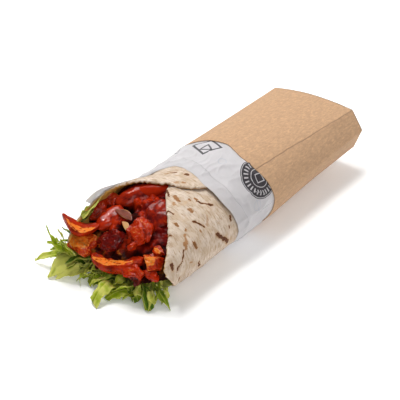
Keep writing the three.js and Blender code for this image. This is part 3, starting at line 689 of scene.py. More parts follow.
def new_material(name, colour, roughness, light_reach=None, **fixed):
    """A Principled material. light_reach says how far red, green and blue light wander in it, and fixed
    holds the sockets that are the same all over."""
    material = bpy.data.materials.new(name)
    material.use_nodes = True
    material.diffuse_color = opaque(colour)
    tree = material.node_tree
    shader = tree.nodes["Principled BSDF"]
    feed(tree, shader, {"Base Color": opaque(colour), "Roughness": roughness})
    feed(tree, shader, {label.replace("_", " "): value for label, value in fixed.items()})
    if light_reach:
        shader.inputs["Subsurface Radius"].default_value = light_reach
    return material, tree, shader


def bumpy(tree, height, distance, strength):
    """A normal for a height, with the distance in millimetres."""
    inputs = {"Strength": strength, "Distance": distance * MM, "Height": height}
    return node(tree, "Bump", inputs).outputs[0]


def at_place(tree):
    """The point in the model's frame, in metres."""
    return node(tree, "TexCoord", {}).outputs["Object"]


def card_material(look):
    """Brown card: blotches, pulp and dark flecks, darker on its cut edge, with painted shade along its
    creases.
    """
    card = look.card_colour
    material, tree, shader = new_material("Kraft Card", card, 0.78)
    place = at_place(tree)
    blotch = placed(tree, "Mottle", {
        "Vector": stretched(tree, place, 1, 0.4, 1), "Scale": 700.0, "Contrast": 1.8,
        "Low Colour": opaque(card, 0.90), "High Colour": opaque(card, 1.06)})
    pulp = placed(tree, "Fibre", {
        "Vector": stretched(tree, place, 1, 0.3, 1), "Scale": 850.0, "Length": 1.0})
    colour = mixed(tree, times(tree, pulp["Mask"], 0.38), blotch["Colour"], opaque(card, 1.45))
    flecks = window(tree, cloud(tree, place, 1900.0, 2.0), 0.68, 0.74, 0.0, 0.35)
    # painted shade: the card darkens along its creases
    crease = window(tree, field(tree, "crease"), 0.1, 0.55, 0.55, 0.0)
    cut = window(tree, field(tree, "cut_edge"), 0.3, 0.8, 0.0, 0.5)
    for mask, share in ((flecks, 0.45), (crease, 0.30), (cut, 0.8)):
        colour = mixed(tree, mask, colour, opaque(card, share))
    feed(tree, shader, {"Base Color": colour, "Roughness": window(tree, pulp["Height"], 0.3, 0.7, 0.7, 0.9),
                        "Normal": bumpy(tree, pulp["Height"], 0.10, 0.6)})
    return material


# Prints on the paper: degrees, y, radius, sides, turn, line width, ink (0 to 1; below FAINT_INK it is
# blue), true if filled
PRINTS = (
    (111, -10, 6.6, 4, 0.35, 1.3, 0.95, False),
    (109, -12, 2.2, 3, 0.9, 1.0, 0.9, False),
    (72, -19, 2.4, 6, 0.2, 0.5, 0.22, False),
    (3, -14, 6.5, 3, 0.5, 0.45, 0.20, False),
    (8, -21, 3.0, 6, 0.0, 0.4, 0.20, False),
    (151, -14, 3.6, 3, 0.2, 0.5, 0.55, False),
    (196, -20, 7.0, 4, 0.5, 0.5, 0.5, False),
    (236, -14, 6.0, 40, 0.0, 1.0, 0.6, True),
    (282, -20, 5.0, 6, 0.3, 0.5, 0.5, False),
    (325, -13, 4.0, 3, 0.1, 0.5, 0.4, False),
)
DIAL_ANGLE, DIAL_Y, DIAL_RADIUS, DIAL_TICKS = 29.0, -10.6, 13.4, 24
DIAL_SHAPES = {         # radius, sides, line width
    "disc": (DIAL_RADIUS, 60, 0.3), "rim": (DIAL_RADIUS - 0.75, 60, 0.3), "ring": (6.2, 60, 0.35),
    "diamond": (2.6, 4, 0.45)}
BLUE_INK, FAINT_INK = (0.36, 0.44, 0.56), 0.25


def paper_material(look):
    """White paper with its prints, faint where they show from within, with painted shade on the hem band
    and a painted shadow line at the hem's edge.
    """
    paper = look.paper_colour
    material, tree, shader = new_material(
        "Printed Paper", paper, 0.5, (1.0, 1.0, 1.0), Subsurface_Weight=0.5, Subsurface_Scale=0.002,
        Specular_IOR_Level=0.3)
    place = at_place(tree)
    colour = placed(tree, "Mottle", {"Vector": place, "Scale": 60.0, "Contrast": 1.2,
                                     "Low Colour": opaque(paper, 0.93),
                                     "High Colour": opaque(paper, 1.03)})["Colour"]
    printed = field(tree, "printed_at", "Vector")
    face = window(tree, field(tree, "outward"), 0.4, 0.6, 0.12, 1.0)
    for degrees, y, radius, sides, turn, line, ink, filled in PRINTS:
        shape = printed_shape(tree, printed, degrees, y, radius, sides, turn, line)
        tint = BLUE_INK if ink < FAINT_INK else look.ink_colour
        shown = times(tree, shape["Inside" if filled else "Line"], ink, face)
        colour = mixed(tree, shown, colour, opaque(tint))
    colour = dial(tree, look, colour, printed, face)
    from_hem = field(tree, "from_hem")
    # painted shade on the doubled hem band, and a painted shadow line just past the hem's edge
    hem_band_shade = window(tree, from_hem, -0.2, 0.0, 0.13, 0.0)
    hem_edge_shadow = times(tree, window(tree, from_hem, -0.1, 0.1), window(tree, from_hem, 0.1, 1.0, 0.50, 0.0))
    colour = mixed(tree, times(tree, plus(tree, hem_band_shade, hem_edge_shadow), face), colour, opaque(paper, 0.35))
    feed(tree, shader, {"Base Color": colour, "Normal": bumpy(tree, cloud(tree, place, 300.0), 0.05, 0.5)})
    return material


def printed_shape(tree, printed, degrees, y, radius, sides, turn, line):
    """One outline printed on the paper round a place on the roll."""
    return placed(tree, "Printed Outline", {
        "Vector": printed, "Centre": (float(arc_length(degrees)), y, 0), "Radius": radius, "Sides": sides,
        "Turn": turn, "Line": line})


def dial(tree, look, colour, printed, face):
    """A dark disc with a ring of plain ticks and a small diamond, printed on the paper."""
    shapes = {name: printed_shape(tree, printed, DIAL_ANGLE, DIAL_Y, radius, sides, 0.6, line)
              for name, (radius, sides, line) in DIAL_SHAPES.items()}
    angle, reach = shapes["disc"]["Angle"], shapes["disc"]["Distance"]
    beat = calc(tree, "FRACT", times(tree, angle, DIAL_TICKS / (2 * math.pi)))
    off_tick = calc(tree, "ABSOLUTE", minus(tree, beat, 0.5))
    band = times(tree, window(tree, reach, 8.0, 8.2), window(tree, reach, 11.0, 11.2, 1.0, 0.0))
    ticks = times(tree, window(tree, off_tick, 0.14, 0.22, 1.0, 0.0), band)
    colour = mixed(tree, times(tree, shapes["disc"]["Inside"], face), colour, opaque(look.ink_colour))
    for white in (ticks, shapes["ring"]["Line"], shapes["diamond"]["Line"], shapes["rim"]["Line"]):
        colour = mixed(tree, times(tree, white, face, 0.85), colour, opaque(look.paper_colour))
    return colour


def tortilla_material(look):
    """Floury bread with streaks, toasting and griddle marks outside, oily and sauced inside, with painted
    shade in the streaks' hollows.
    """
    bread = look.tortilla_colour
    material, tree, shader = new_material(
        "Flour Tortilla", bread, 0.72, (1.0, 0.8, 0.6), Subsurface_Weight=0.15, Subsurface_Scale=0.001,
        Specular_IOR_Level=0.25)
    rolled = field(tree, "rolled_at", "Vector")
    place = at_place(tree)
    floury = placed(tree, "Mottle", {
        "Vector": place, "Scale": 130.0, "Contrast": 1.6, "Low Colour": opaque(bread, 0.84, 0.76, 0.66),
        "High Colour": opaque(bread, 1.05)})["Colour"]
    streaks = placed(tree, "Fibre", {"Vector": rolled, "Scale": 0.85, "Length": 5.0})["Height"]
    # painted shade: darker where the streaks are low
    hollow_shade = window(tree, streaks, 0.34, 0.52, 0.95, 0.0)
    colour = mixed(tree, hollow_shade, floury, opaque(bread, 0.70, 0.58, 0.46))
    toast = window(tree, cloud(tree, rolled, 0.16, 4.0, 0.7), 0.58, 0.72, 0.0, 0.45)
    colour = mixed(tree, toast, colour, opaque(bread, 0.80, 0.60, 0.38))
    inner = window(tree, field(tree, "outward"), 0.25, 0.62, 1.0, 0.0)
    colour = mixed(tree, inner, colour, opaque(look.inner_colour))
    darkness = field(tree, "mark_darkness")
    ragged = minus(tree, cloud(tree, rolled, 0.75, 4.0, 0.75), 0.5)
    burnt = plus(tree, field(tree, "in_mark"), times(tree, ragged, 2.2))
    halo = times(tree, window(tree, burnt, -0.9, 0.3, 0.0, 0.55), darkness)
    colour = mixed(tree, halo, colour, opaque(bread, 0.80, 0.55, 0.30))
    charred = times(tree, window(tree, burnt, 0.02, 0.35), window(tree, darkness, 0.45, 0.90, 0.10, 1.0))
    brown = mixed(tree, charred, opaque(look.toast_colour), opaque(look.griddle_colour))
    marked = times(tree, window(tree, burnt, -0.05, 0.14), window(tree, darkness, 0.0, 0.75))
    colour = mixed(tree, marked, colour, brown)
    soaked = window(tree, cloud(tree, place, 210.0), 0.3, 0.6, 0.4, 1.0)
    stain = times(tree, field(tree, "sauced"), soaked)
    relief = plus(tree, streaks, times(tree, marked, -0.5))
    feed(tree, shader, {"Base Color": mixed(tree, stain, colour, opaque(look.dark_sauce)),
                        "Roughness": window(tree, stain, 0.2, 0.8, 0.72, 0.25),
                        "Normal": bumpy(tree, relief, 0.6, 0.9)})
    return material


# Each kind of sauced meat: the weight of its wet coat, the strength of its bumps, how much the sauce's
# thickness changes, its shine under the coat and what is added to its roughness
SAUCES = {
    "Sauced Strip": (0.32, 0.06, 0.6, 0.05, 0.05),
    "Sauced Chunk": (0.24, 1.0, 1.2, 0.08, 0.0),
    "Cut Strip": (0.06, 1.0, 1.0, 0.08, 0.0),
    "Sauced Filling": (0.02, 0.8, 1.2, 0.03, 0.0),
    "Thick Sauce": (0.06, 0.06, 0.6, 0.03, 0.05),
}


def sauced_material(name, look):
    """Meat under red sauce, with a rippled wet coat over it."""
    coat, relief, wander, shine, dull = SAUCES[name]
    material, tree, shader = new_material(
        name, look.bright_sauce, 0.25, (1.0, 0.2, 0.08), Subsurface_Weight=0.10, Subsurface_Scale=0.002,
        Coat_Weight=coat, Coat_Roughness=0.10, Specular_IOR_Level=shine)
    place = at_place(tree)
    made = placed(tree, "Sauced Meat", {
        "Vector": place, "Tone": field(tree, "tone"), "Meat": field(tree, "meat"),
        "Crag": field(tree, "crag"), "Wander": wander, "Shade": field(tree, "shade"),
        "Bright Sauce": opaque(look.bright_sauce), "Dark Sauce": opaque(look.dark_sauce),
        "Orange Meat": opaque(look.orange_meat), "Pale Meat": opaque(look.pale_meat)})
    feed(tree, shader, {"Base Color": made["Colour"], "Roughness": plus(tree, made["Roughness"], dull),
                        "Normal": bumpy(tree, made["Height"], 0.35, relief),
                        "Coat Normal": bumpy(tree, cloud(tree, place, 260.0, 2.0), 0.5, 0.5)})
    return material


def onion_material(look):
    """Thin moist onion, mauve through its body and pale at its rim; one slice is pale all over."""
    onion = look.onion_colour
    material, tree, shader = new_material(
        "Onion", onion, 0.2, Subsurface_Weight=0.5, Subsurface_Scale=0.002, Coat_Weight=0.5,
        Specular_IOR_Level=0.25)
    veins = placed(tree, "Fibre", {"Vector": at_place(tree), "Scale": 420.0, "Length": 6.0})
    mauve = mixed(tree, times(tree, veins["Mask"], 0.35), opaque(onion), opaque(onion, 0.5))
    pale = calc(tree, "MAXIMUM", times(tree, field(tree, "rim"), 0.8), field(tree, "pale"))
    feed(tree, shader, {"Base Color": mixed(tree, pale, mauve, opaque(look.onion_rim)),
                        "Normal": bumpy(tree, veins["Height"], 0.1, 0.4)})
    return material


def lettuce_material(look):
    """Leaf from pale heart to dark green, with a pale rib, branching veins and pale torn edges, and painted
    shade in the hollows of its crinkles.
    """
    material, tree, shader = new_material(
        "Lettuce", look.lettuce_mid, 0.38, (0.8, 1.0, 0.1), Subsurface_Weight=0.2, Subsurface_Scale=0.001,
        Specular_IOR_Level=0.05)
    place = at_place(tree)
    crag = field(tree, "crag")
    patches = minus(tree, cloud(tree, place, 240.0), 0.5)
    # lower crinkles take a darker green: painted shade
    tone = plus(tree, field(tree, "leaf"), patches, times(tree, crag, -0.28))
    young = mixed(tree, window(tree, tone, 0.05, 0.5), opaque(look.lettuce_pale), opaque(look.lettuce_mid))
    colour = mixed(tree, window(tree, tone, 0.45, 0.95), young, opaque(look.lettuce_dark))
    across = calc(tree, "ABSOLUTE", field(tree, "across"))
    rib = window(tree, across, 0.02, 0.16, 0.65, 0.0)
    wave = node(tree, "TexWave", {
        "Vector": field(tree, "leaf_at", "Vector"), "Scale": 1.1, "Distortion": 2.0, "Detail": 2.0,
        "Detail Scale": 1.5}, bands_direction="X")
    branches = window(tree, wave.outputs["Fac"], 0.80, 0.98, 0.0, 0.30)
    torn_edge = window(tree, across, 0.72, 0.98, 0.0, 0.6)
    veins = calc(tree, "MAXIMUM", calc(tree, "MAXIMUM", rib, branches), torn_edge)
    colour = mixed(tree, veins, colour, opaque(look.lettuce_pale))
    # painted shade: darker in the crinkles' hollows
    feed(tree, shader, {"Base Color": darkened(tree, colour, window(tree, crag, -1.0, -0.1, 0.5, 1.0)),
                        "Roughness": window(tree, patches, -0.2, 0.2, 0.28, 0.48),
                        "Normal": bumpy(tree, plus(tree, veins, cloud(tree, place, 900.0)), 0.2, 0.5)})
    return material


# ---- Pieces ----
SHUT_INSET = 0.3                        # how far the folded end stands inside the sleeve's length
SEAM_HEIGHT, TUCK_REACH = 26.5, 31.0    # where the end's upper flap stops, and its corners' folds reach
NO_CREASE = 5                           # millimetres to the nearest crease where there is none


def make_sleeve(look):
    """The card sleeve, with scored folds down its top corners and its far end folded shut."""
    by_fold = np.linspace(-2.4, 2.4, 17)
    columns = [np.arange(0, 360, 1.5)] + [fold + by_fold for fold in FOLD_ANGLES]
    angles = np.unique(np.round(np.concatenate(columns), 3))
    front = edge_of(SLEEVE_FRONT, angles)
    share = np.linspace(0, 1, 120)[:, None]
    y = front + (SLEEVE_LENGTH - SHUT_INSET - front) * share
    at = envelope(angles, y)
    wavering = FOLD_ANGLES[0] + 0.8 * noise_along(y, 9.0, 4)
    gaps = [np.abs(arc_length(angles) - arc_length(fold)) for fold in (wavering, FOLD_ANGLES[1])]
    crease = np.minimum(*gaps)
    dents = 0.15 * rough(at, (30, 60, 30), 1, 3) + 0.02 * rough(at, 3.0, 2, 8)
    dents = dents * ease(0.0, 0.08, share)
    lifted = 0.1 * np.exp(-((y - front) / 1.5) ** 2)
    depth = dents + 0.22 * np.exp(-(crease / 0.30) ** 2) - lifted
    outer, inner = layer(angles, y, depth), layer(angles, y, depth + CARD_THICKNESS)
    points, faces, outward = folded_sheet(outer, inner, True, 2)
    cut_edge = np.zeros(outward.shape)
    cut_edge[len(inner):len(inner) + 2] = 1
    both_faces = np.concatenate([crease[::-1] + NO_CREASE, crease[:1], crease[:1], crease])
    shell = Shell()
    shell.add(points, faces, crease=both_faces, cut_edge=cut_edge)
    add_shut_end(shell, outer[-1])
    return finish_piece(shell.piece("sleeve_card", card_material(look)), "kraft_card", "card_sleeve")


def add_shut_end(shell, rim):
    """Two flaps fold over the sleeve's end, the upper one on top, with tucked corners under them."""
    scale = 1 - (np.linspace(0, 1, 46) ** 1.2)[:, None, None]
    centre = rim.mean(0)
    flaps = []
    for thickness in (0.0, CARD_THICKNESS):
        place = centre + (rim - centre) * scale
        seam = SEAM_HEIGHT + 0.05 * place[..., 0] + 0.4 * noise(place, 16.0, 5)
        from_seam = place[..., 2] - seam
        tuck = np.abs(np.abs(place[..., 0] + 2) - TUCK_REACH + 0.9 * np.abs(from_seam))
        bow = 0.8 * noise(place, (22, 50, 14), 6) * (1 - scale[..., 0] ** 4)
        place[..., 1] = SLEEVE_LENGTH - SHUT_INSET + 0.5 * ease(0, 0.5, from_seam) + bow - thickness
        place[..., 1] -= 0.25 * np.exp(-(tuck / 0.35) ** 2)
        place[..., 1] += 0.3 * ease(0, 0.03, 1 - scale[..., 0])
        flaps.append((place, np.minimum(np.abs(from_seam + 0.1), tuck)))
    (outer, crease), (inner, _) = flaps
    faces = grid_faces(*outer.shape[:2], True)
    shell.add(outer, faces, crease=crease, cut_edge=0)
    shell.add(inner, faces[:, ::-1], crease=NO_CREASE, cut_edge=0)


def paper_stand_off(angle, y):
    """How far the paper stands off the roll: on its loose left strip and where it enters the sleeve."""
    away = np.clip((angle - 155) / 60, -1, 1)
    fringe = 1.2 * ease(-60, -95, y) * np.cos(away * math.pi / 2)
    return fringe + 0.45 * ease(-26, -13, y) * ease(8, 2, y)


def make_paper(look):
    """The thin printed paper round the middle, with a folded hem, creases and a loose strip on the left."""
    angles = np.arange(0, 360, 1.25)
    front = edge_of(PAPER_FRONT, angles, 2.0)
    front = front + 0.5 * noise_along(angles, 11.0, 2)
    hem_rows = np.concatenate([np.linspace(0, HEM - 0.15, 18), [HEM + 0.1]])[:, None]
    bare_rows = np.linspace(0.03, 1, 44)[:, None]
    shown_end, far = 12, 99     # the paper's rows are wide inside the sleeve; far is past any hem
    hidden_rows = np.linspace(shown_end, PAPER_END, 12)[1:, None] + 0 * angles
    y = np.concatenate([front + hem_rows, front + HEM + (shown_end - front - HEM) * bare_rows, hidden_rows])
    away = np.concatenate([hem_rows + 0 * front, far + 0 * bare_rows + 0 * front, far + 0 * hidden_rows])
    at = envelope(angles, y)
    on_table = ease(0.7, 0.95, -np.sin(np.radians(angles)))
    hem = HEM_RISE * (1 - on_table) * (away < HEM)
    outside = ease(-3, -12, y) * (1 - on_table)
    slant = at @ np.array([[0.8, 0.3, 0], [-0.5, 0.9, 0.2], [0.3, -0.2, 1]])
    folds = ridges(slant, (13, 26, 13), 1, 4) ** 7 + 0.7 * ridges(at, (9, 15, 9), 1, 9) ** 9
    waves = rough(at, (16, 20, 16), 3, 2)
    wrinkle = outside * (0.95 * folds + 0.30 * waves) * (0.25 + 0.75 * ease(0, 9, away))
    loose = ease(-52, -70, y) * 0.5 * noise(at, (8, 9, 8), 3)
    tucked = 0.55 * np.exp(-(away / 2.0) ** 2) * ease(-72, -60, y)
    depth = PAPER_DEPTH - hem - paper_stand_off(angles, y) - np.maximum(wrinkle, -0.06) - loose + tucked
    outer, inner = layer(angles, y, depth), layer(angles, y, depth + PAPER_THICKNESS)
    points, faces, outward = folded_sheet(outer, inner, True, 1)
    rows = np.concatenate([y[::-1], y[:1], y])
    printed = np.stack([np.broadcast_to(arc_length(angles), rows.shape), rows, 0 * rows], -1)
    from_hem = np.concatenate([away[::-1], away[:1], away]) - HEM
    from_hem = np.where(from_hem > HEM, rows - front - HEM, from_hem)
    shell = Shell()
    shell.add(points, faces, printed_at=printed, outward=outward, from_hem=from_hem)
    return finish_piece(shell.piece("liner_paper", paper_material(look)), "wrapping_paper", "paper_liner")


def griddle_fields(arc, y, marks):
    """How deep inside a brown mark each point is, 1 in its middle and 0 at its edge, and its darkness."""
    inside, darkness = np.full(arc.shape, -1.0), np.zeros(arc.shape)
    for (turn_a, y_a), (turn_b, y_b), width, dark in marks:
        start = np.array([arc_of_turn(turn_a), y_a])
        run = np.array([arc_of_turn(turn_b), y_b]) - start
        share = ((arc - start[0]) * run[0] + (y - start[1]) * run[1]) / (run @ run)
        share = np.clip(share, 0, 1)
        gap = np.hypot(arc - start[0] - share * run[0], y - start[1] - share * run[1])
        value = np.maximum(1 - gap / (MARK_REACH * width), -1)
        nearer = value > inside
        inside, darkness = np.where(nearer, value, inside), np.where(nearer, dark, darkness)
    return inside, darkness


def arc_of_turn(turn):
    """Millimetres along the tortilla's round from its inner end."""
    return arc_length(ROLL_START) - arc_length(ROLL_START - np.asarray(turn, float))


def hidden_marks(draw):
    """Marks like the ones that show, on the left, back and underside."""
    marks = []
    for _ in range(HIDDEN_MARKS):
        turn, y = draw.uniform(130, 330), draw.uniform(-104, -40)
        long, tilt = draw.choice([1.5, 2, 3, 6]), draw.uniform(-0.6, 0.6)
        width, dark = draw.uniform(1.2, 2.6), draw.uniform(0.3, 0.95)
        marks.append(((turn, y), (turn + long, y + long * tilt), width, dark))
    return marks


def make_tortilla(look):
    """The rolled flour tortilla: a soft sheet with a ragged rounded edge, wrinkled and griddle marked."""
    draw = np.random.default_rng(11)
    turns = np.linspace(0, ROLL_TURN, 430)
    angles = ROLL_START - turns
    arc = arc_of_turn(turns)
    ragged = 0.8 * noise_along(arc, 9.0, 3) + 0.3 * noise_along(arc, 2.2, 5)
    front = edge_of(BREAD_FRONT, turns, 3.5, around=False) + ragged
    shown = front + (-30 - front) * np.linspace(0, 1, 84)[:, None]
    hidden = np.linspace(-30, BREAD_END, 12)[1:, None] + 0 * turns
    y = np.concatenate([shown, hidden])
    flat = np.stack([np.broadcast_to(arc, y.shape) + 0.15 * y, y, 0 * y], -1)
    streak = rough(flat, (6, 1.7, 1), 2, 6)
    blister = rough(flat, (9, 9, 1), 3, 2)
    free = ease(-42, -55, y)
    relief = (0.10 + 0.28 * free) * streak + (0.08 + 0.42 * free) * blister
    depth = bread_depth(turns, y) - relief * look.wrinkle_depth
    swell = 0.25 * noise(flat, (14, 10, 1), 9)
    outer = layer(angles, y, depth)
    inner = layer(angles, y, depth + BREAD_THICKNESS + swell + 0.15 * rough(flat, (4, 4, 1), 2, 7))
    points, faces, outward = folded_sheet(outer, inner, False, 4)
    rows = np.concatenate([y[::-1], np.repeat(y[:1], 4, 0), y])
    arcs = np.broadcast_to(arc, rows.shape)
    at = np.stack([arcs, rows, 0 * rows], -1)
    outward = np.maximum(outward, ease(ROLL_TURN - 5, ROLL_TURN - 2, turns))
    warp_round, warp_along = [0.9 * rough(at, 3.0, 2, seed) for seed in (21, 22)]
    marks = [*GRIDDLE_MARKS, *hidden_marks(draw)]
    inside, darkness = griddle_fields(arcs + warp_round, rows + warp_along, marks)
    shell = Shell()
    shell.add(points, faces, rolled_at=at, outward=outward, in_mark=inside,
              mark_darkness=darkness * (outward > 0.4), sauced=sauce_on_bread(points, outward))
    piece = shell.piece("tortilla_sheet", tortilla_material(look))
    return finish_piece(piece, "flour_tortilla", "tortilla")


def sauce_on_bread(points, outward):
    """Where sauce has soaked into the inner face: by the filling, most on the right and along the top."""
    x, y, z = np.moveaxis(points, -1, 0)
    near = ease(9.0, 2.0, z - heap_height(x, y)) * ease(0.5, 0.1, outward)
    return near * np.maximum(0.15, np.maximum(ease(2, 12, x), ease(-80, -66, y)))


def bare_of_shreds(x, y):
    """Where no shred lies: on the right, low in front and at the back, where it would stick out between
    the strips, and in the gaps."""
    if x > 12 and y > -101 or x > 4 and y < -105 or y < -110 or x > -2 and y > -84:
        return True
    return any(math.hypot(x - gap_x, y - gap_y) < radius for gap_x, gap_y, radius, _ in GAPS)


def scrap_specs(draw, count):
    """Shreds of chicken that lie on the heap between the strips."""
    specs = []
    while len(specs) < count:
        x, y = draw.uniform(-31, 29), draw.uniform(-114, -58)
        if abs(x) > 33 * nose(y) or bare_of_shreds(x, y):
            continue
        heading, long = draw.uniform(0, 2 * math.pi), draw.uniform(4, 12)
        lift = draw.uniform(-3.4, -0.9) - 2
        step_x, step_y = math.cos(heading) * long / 2, math.sin(heading) * long / 2
        ends = [(end_x, end_y, float(heap_height(end_x, end_y)) + lift)
                for end_x, end_y in ((x - step_x, y - step_y), (x + step_x, y + step_y))]
        specs.append((*ends, draw.uniform(3, 6.5), draw.uniform(3, 5.5), draw.uniform(-0.6, 1.2)))
    return specs


def filling_core(lengths):
    """The sauced mass inside the roll through rings at these lengths, narrower and lower at the mouth."""
    angles = np.linspace(-90, 250, 60)
    rings = []
    for y in lengths:
        lapped = LAP_STEP * ease(-20, 40, angles) * ease(127, 119, angles)
        ring = layer(angles, y + 0 * angles, FILLING_DEPTH + lapped + tail_taper(y) + 0.4)
        ring[:, 0] *= nose(y)
        floor = float(bed_top(y)) + 0.3
        if y < HEAP_FROM:
            roof = heap_height(ring[:, 0], y) - PIECE_COVER
            ring[:, 2] = np.minimum(ring[:, 2], np.maximum(roof, floor + 0.5))
        ring[:, 2] = np.maximum(ring[:, 2], floor)
        rings.append(ring)
    return lofted(np.array(rings))


def lofted(rings):
    """A closed body through rings of points."""
    rows, columns = rings.shape[:2]
    points = np.concatenate([rings.reshape(-1, 3), rings[:1].mean(1), rings[-1:].mean(1)])
    around = np.arange(columns)
    faces = grid_faces(rows, columns, True).tolist()
    hub, last = rows * columns, (rows - 1) * columns
    faces += [[(i + 1) % columns, i, hub] for i in around]
    faces += [[last + i, last + (i + 1) % columns, hub + 1] for i in around]
    return points, faces


def crevice_shade(points, open_to, shut_from):
    """How open each point of the mouth is, 1 on top of its surroundings and near 0 deep between pieces."""
    tops = [morsel(*spec[:6])[0] for spec in CHICKEN] + [morsel(*spec, "slice")[0] for spec in ONION]
    facing = HEAP_FACING / np.linalg.norm(HEAP_FACING)
    right = np.array([facing[2], 0, -facing[0]]) / math.hypot(facing[2], facing[0])
    across = np.stack([right, np.cross(facing, right), facing])
    tops, seen = np.concatenate(tops) @ across.T, points @ across.T
    corner, cells, empty = np.array([-60.0, -140.0]), 220, -1e3     # a map of 1 mm cells over the mouth
    height = np.full((cells, cells), empty)
    cell = np.clip((tops[:, :2] - corner).astype(int), 0, cells - 1)
    np.maximum.at(height, (cell[:, 0], cell[:, 1]), tops[:, 2])
    total, weight = np.zeros((cells, cells)), np.zeros((cells, cells))
    for step_x, step_y in product(range(-SHADE_REACH, SHADE_REACH + 1), repeat=2):
        share = math.exp(-(step_x ** 2 + step_y ** 2) / 8)
        moved = np.roll(height, (step_x, step_y), (0, 1))
        total += share * np.where(moved > empty / 2, moved, 0)
        weight += share * (moved > empty / 2)
    around = np.where(weight > 2.0, total / np.maximum(weight, 1e-6), empty)
    cell = np.clip((seen[:, :2] - corner).astype(int), 0, cells - 1)
    sunk = around[cell[:, 0], cell[:, 1]] - seen[:, 2]
    return 1 - DEEPEST_SHADE * ease(open_to, shut_from, sunk)


def make_filling(look):
    """The saucy chicken under the strips: one lumpy mass with shreds in it, through the whole roll."""
    draw = np.random.default_rng(5)
    core = filling_core(np.concatenate([np.linspace(-40, -50, 4), np.linspace(-52, -111, 40)]))
    specs = scrap_specs(draw, look.scrap_count)
    shells = [core] + [morsel(*spec, "rough", 7) for spec in specs]
    points, faces, normals = remeshed(shells, FILLING_VOXEL)
    tones = np.concatenate([[0.8], draw.uniform(0.1, 1.0, len(specs))])
    at_front = np.array([spec[0][1] < -101 for spec in specs])
    meats = np.concatenate([[0.0], np.where(at_front & (draw.random(len(specs)) > 0.65), 0.5, 0.0)])
    nearest = nearest_shell(points, [p for p, _ in shells])
    height = rough(points, 3.4, 3, 2)
    points = points + normals * (0.75 * height + 0.25 * rough(points, 1.1, 2, 9))[:, None]
    points = keep_inside(points, 0.9)
    for gap_x, gap_y, radius, deep in GAPS:
        away = np.hypot(points[:, 0] - gap_x, points[:, 1] - gap_y) / radius
        near_top = ease(9, 5, heap_height(points[:, 0], points[:, 1]) - points[:, 2] - 4)
        dent = deep * np.maximum(1 - away ** 2, 0) * near_top
        points[:, 2] -= dent
        # a gap's floor gets a lower crag, so painted shade darkens it
        height = height - 0.25 * dent
    shell = Shell()
    shell.add(points, faces, tone=tones[nearest], meat=meats[nearest], crag=height,
              shade=crevice_shade(points, 0.0, 3.2))
    shell.add(*filling_core(np.linspace(-44, FILLING_END, 12)), tone=0.8, meat=0, crag=0, shade=1)
    piece = shell.piece("sauced_filling", sauced_material("Sauced Filling", look))
    return finish_piece(piece, "sauced_filling", "chicken_filling")


def nearest_shell(points, shells):
    """For each point, the number of the shell that it came from."""
    tree = KDTree(sum(len(s) for s in shells))
    owner = []
    for number, shell in enumerate(shells):
        for point in shell:
            tree.insert(point, len(owner))
            owner.append(number)
    tree.balance()
    return np.array([owner[tree.find(point)[1]] for point in points])


# How much a piece's lumps, grain and pits stand out, in millimetres, how many torn knobs it has, and
# how far it is bent out of shape
RELIEF = {"smooth": (0.15, 0.0, 0.0, 0, 0.8), "rough": (0.6, 0.6, 0.3, 7, 1.4),
          "kite": (0.7, 0.7, 0.3, 4, 1.2), "cut": (0.4, 0.4, 0.2, 3, 0.8)}
CUT_TILT, CUT_TAPER = math.radians(42), 0.3
# How far below its surroundings a piece is still in the open, and where it is wholly in the shade
OPEN_DEPTHS, CUT_OPEN_DEPTHS = (1.5, 6.0), (3.5, 8.5)
FACETS, FACET_DEPTH = 8, 0.92       # torn flats on a rough or kite piece, and how flat each one is
CHICKEN_SEED = 140


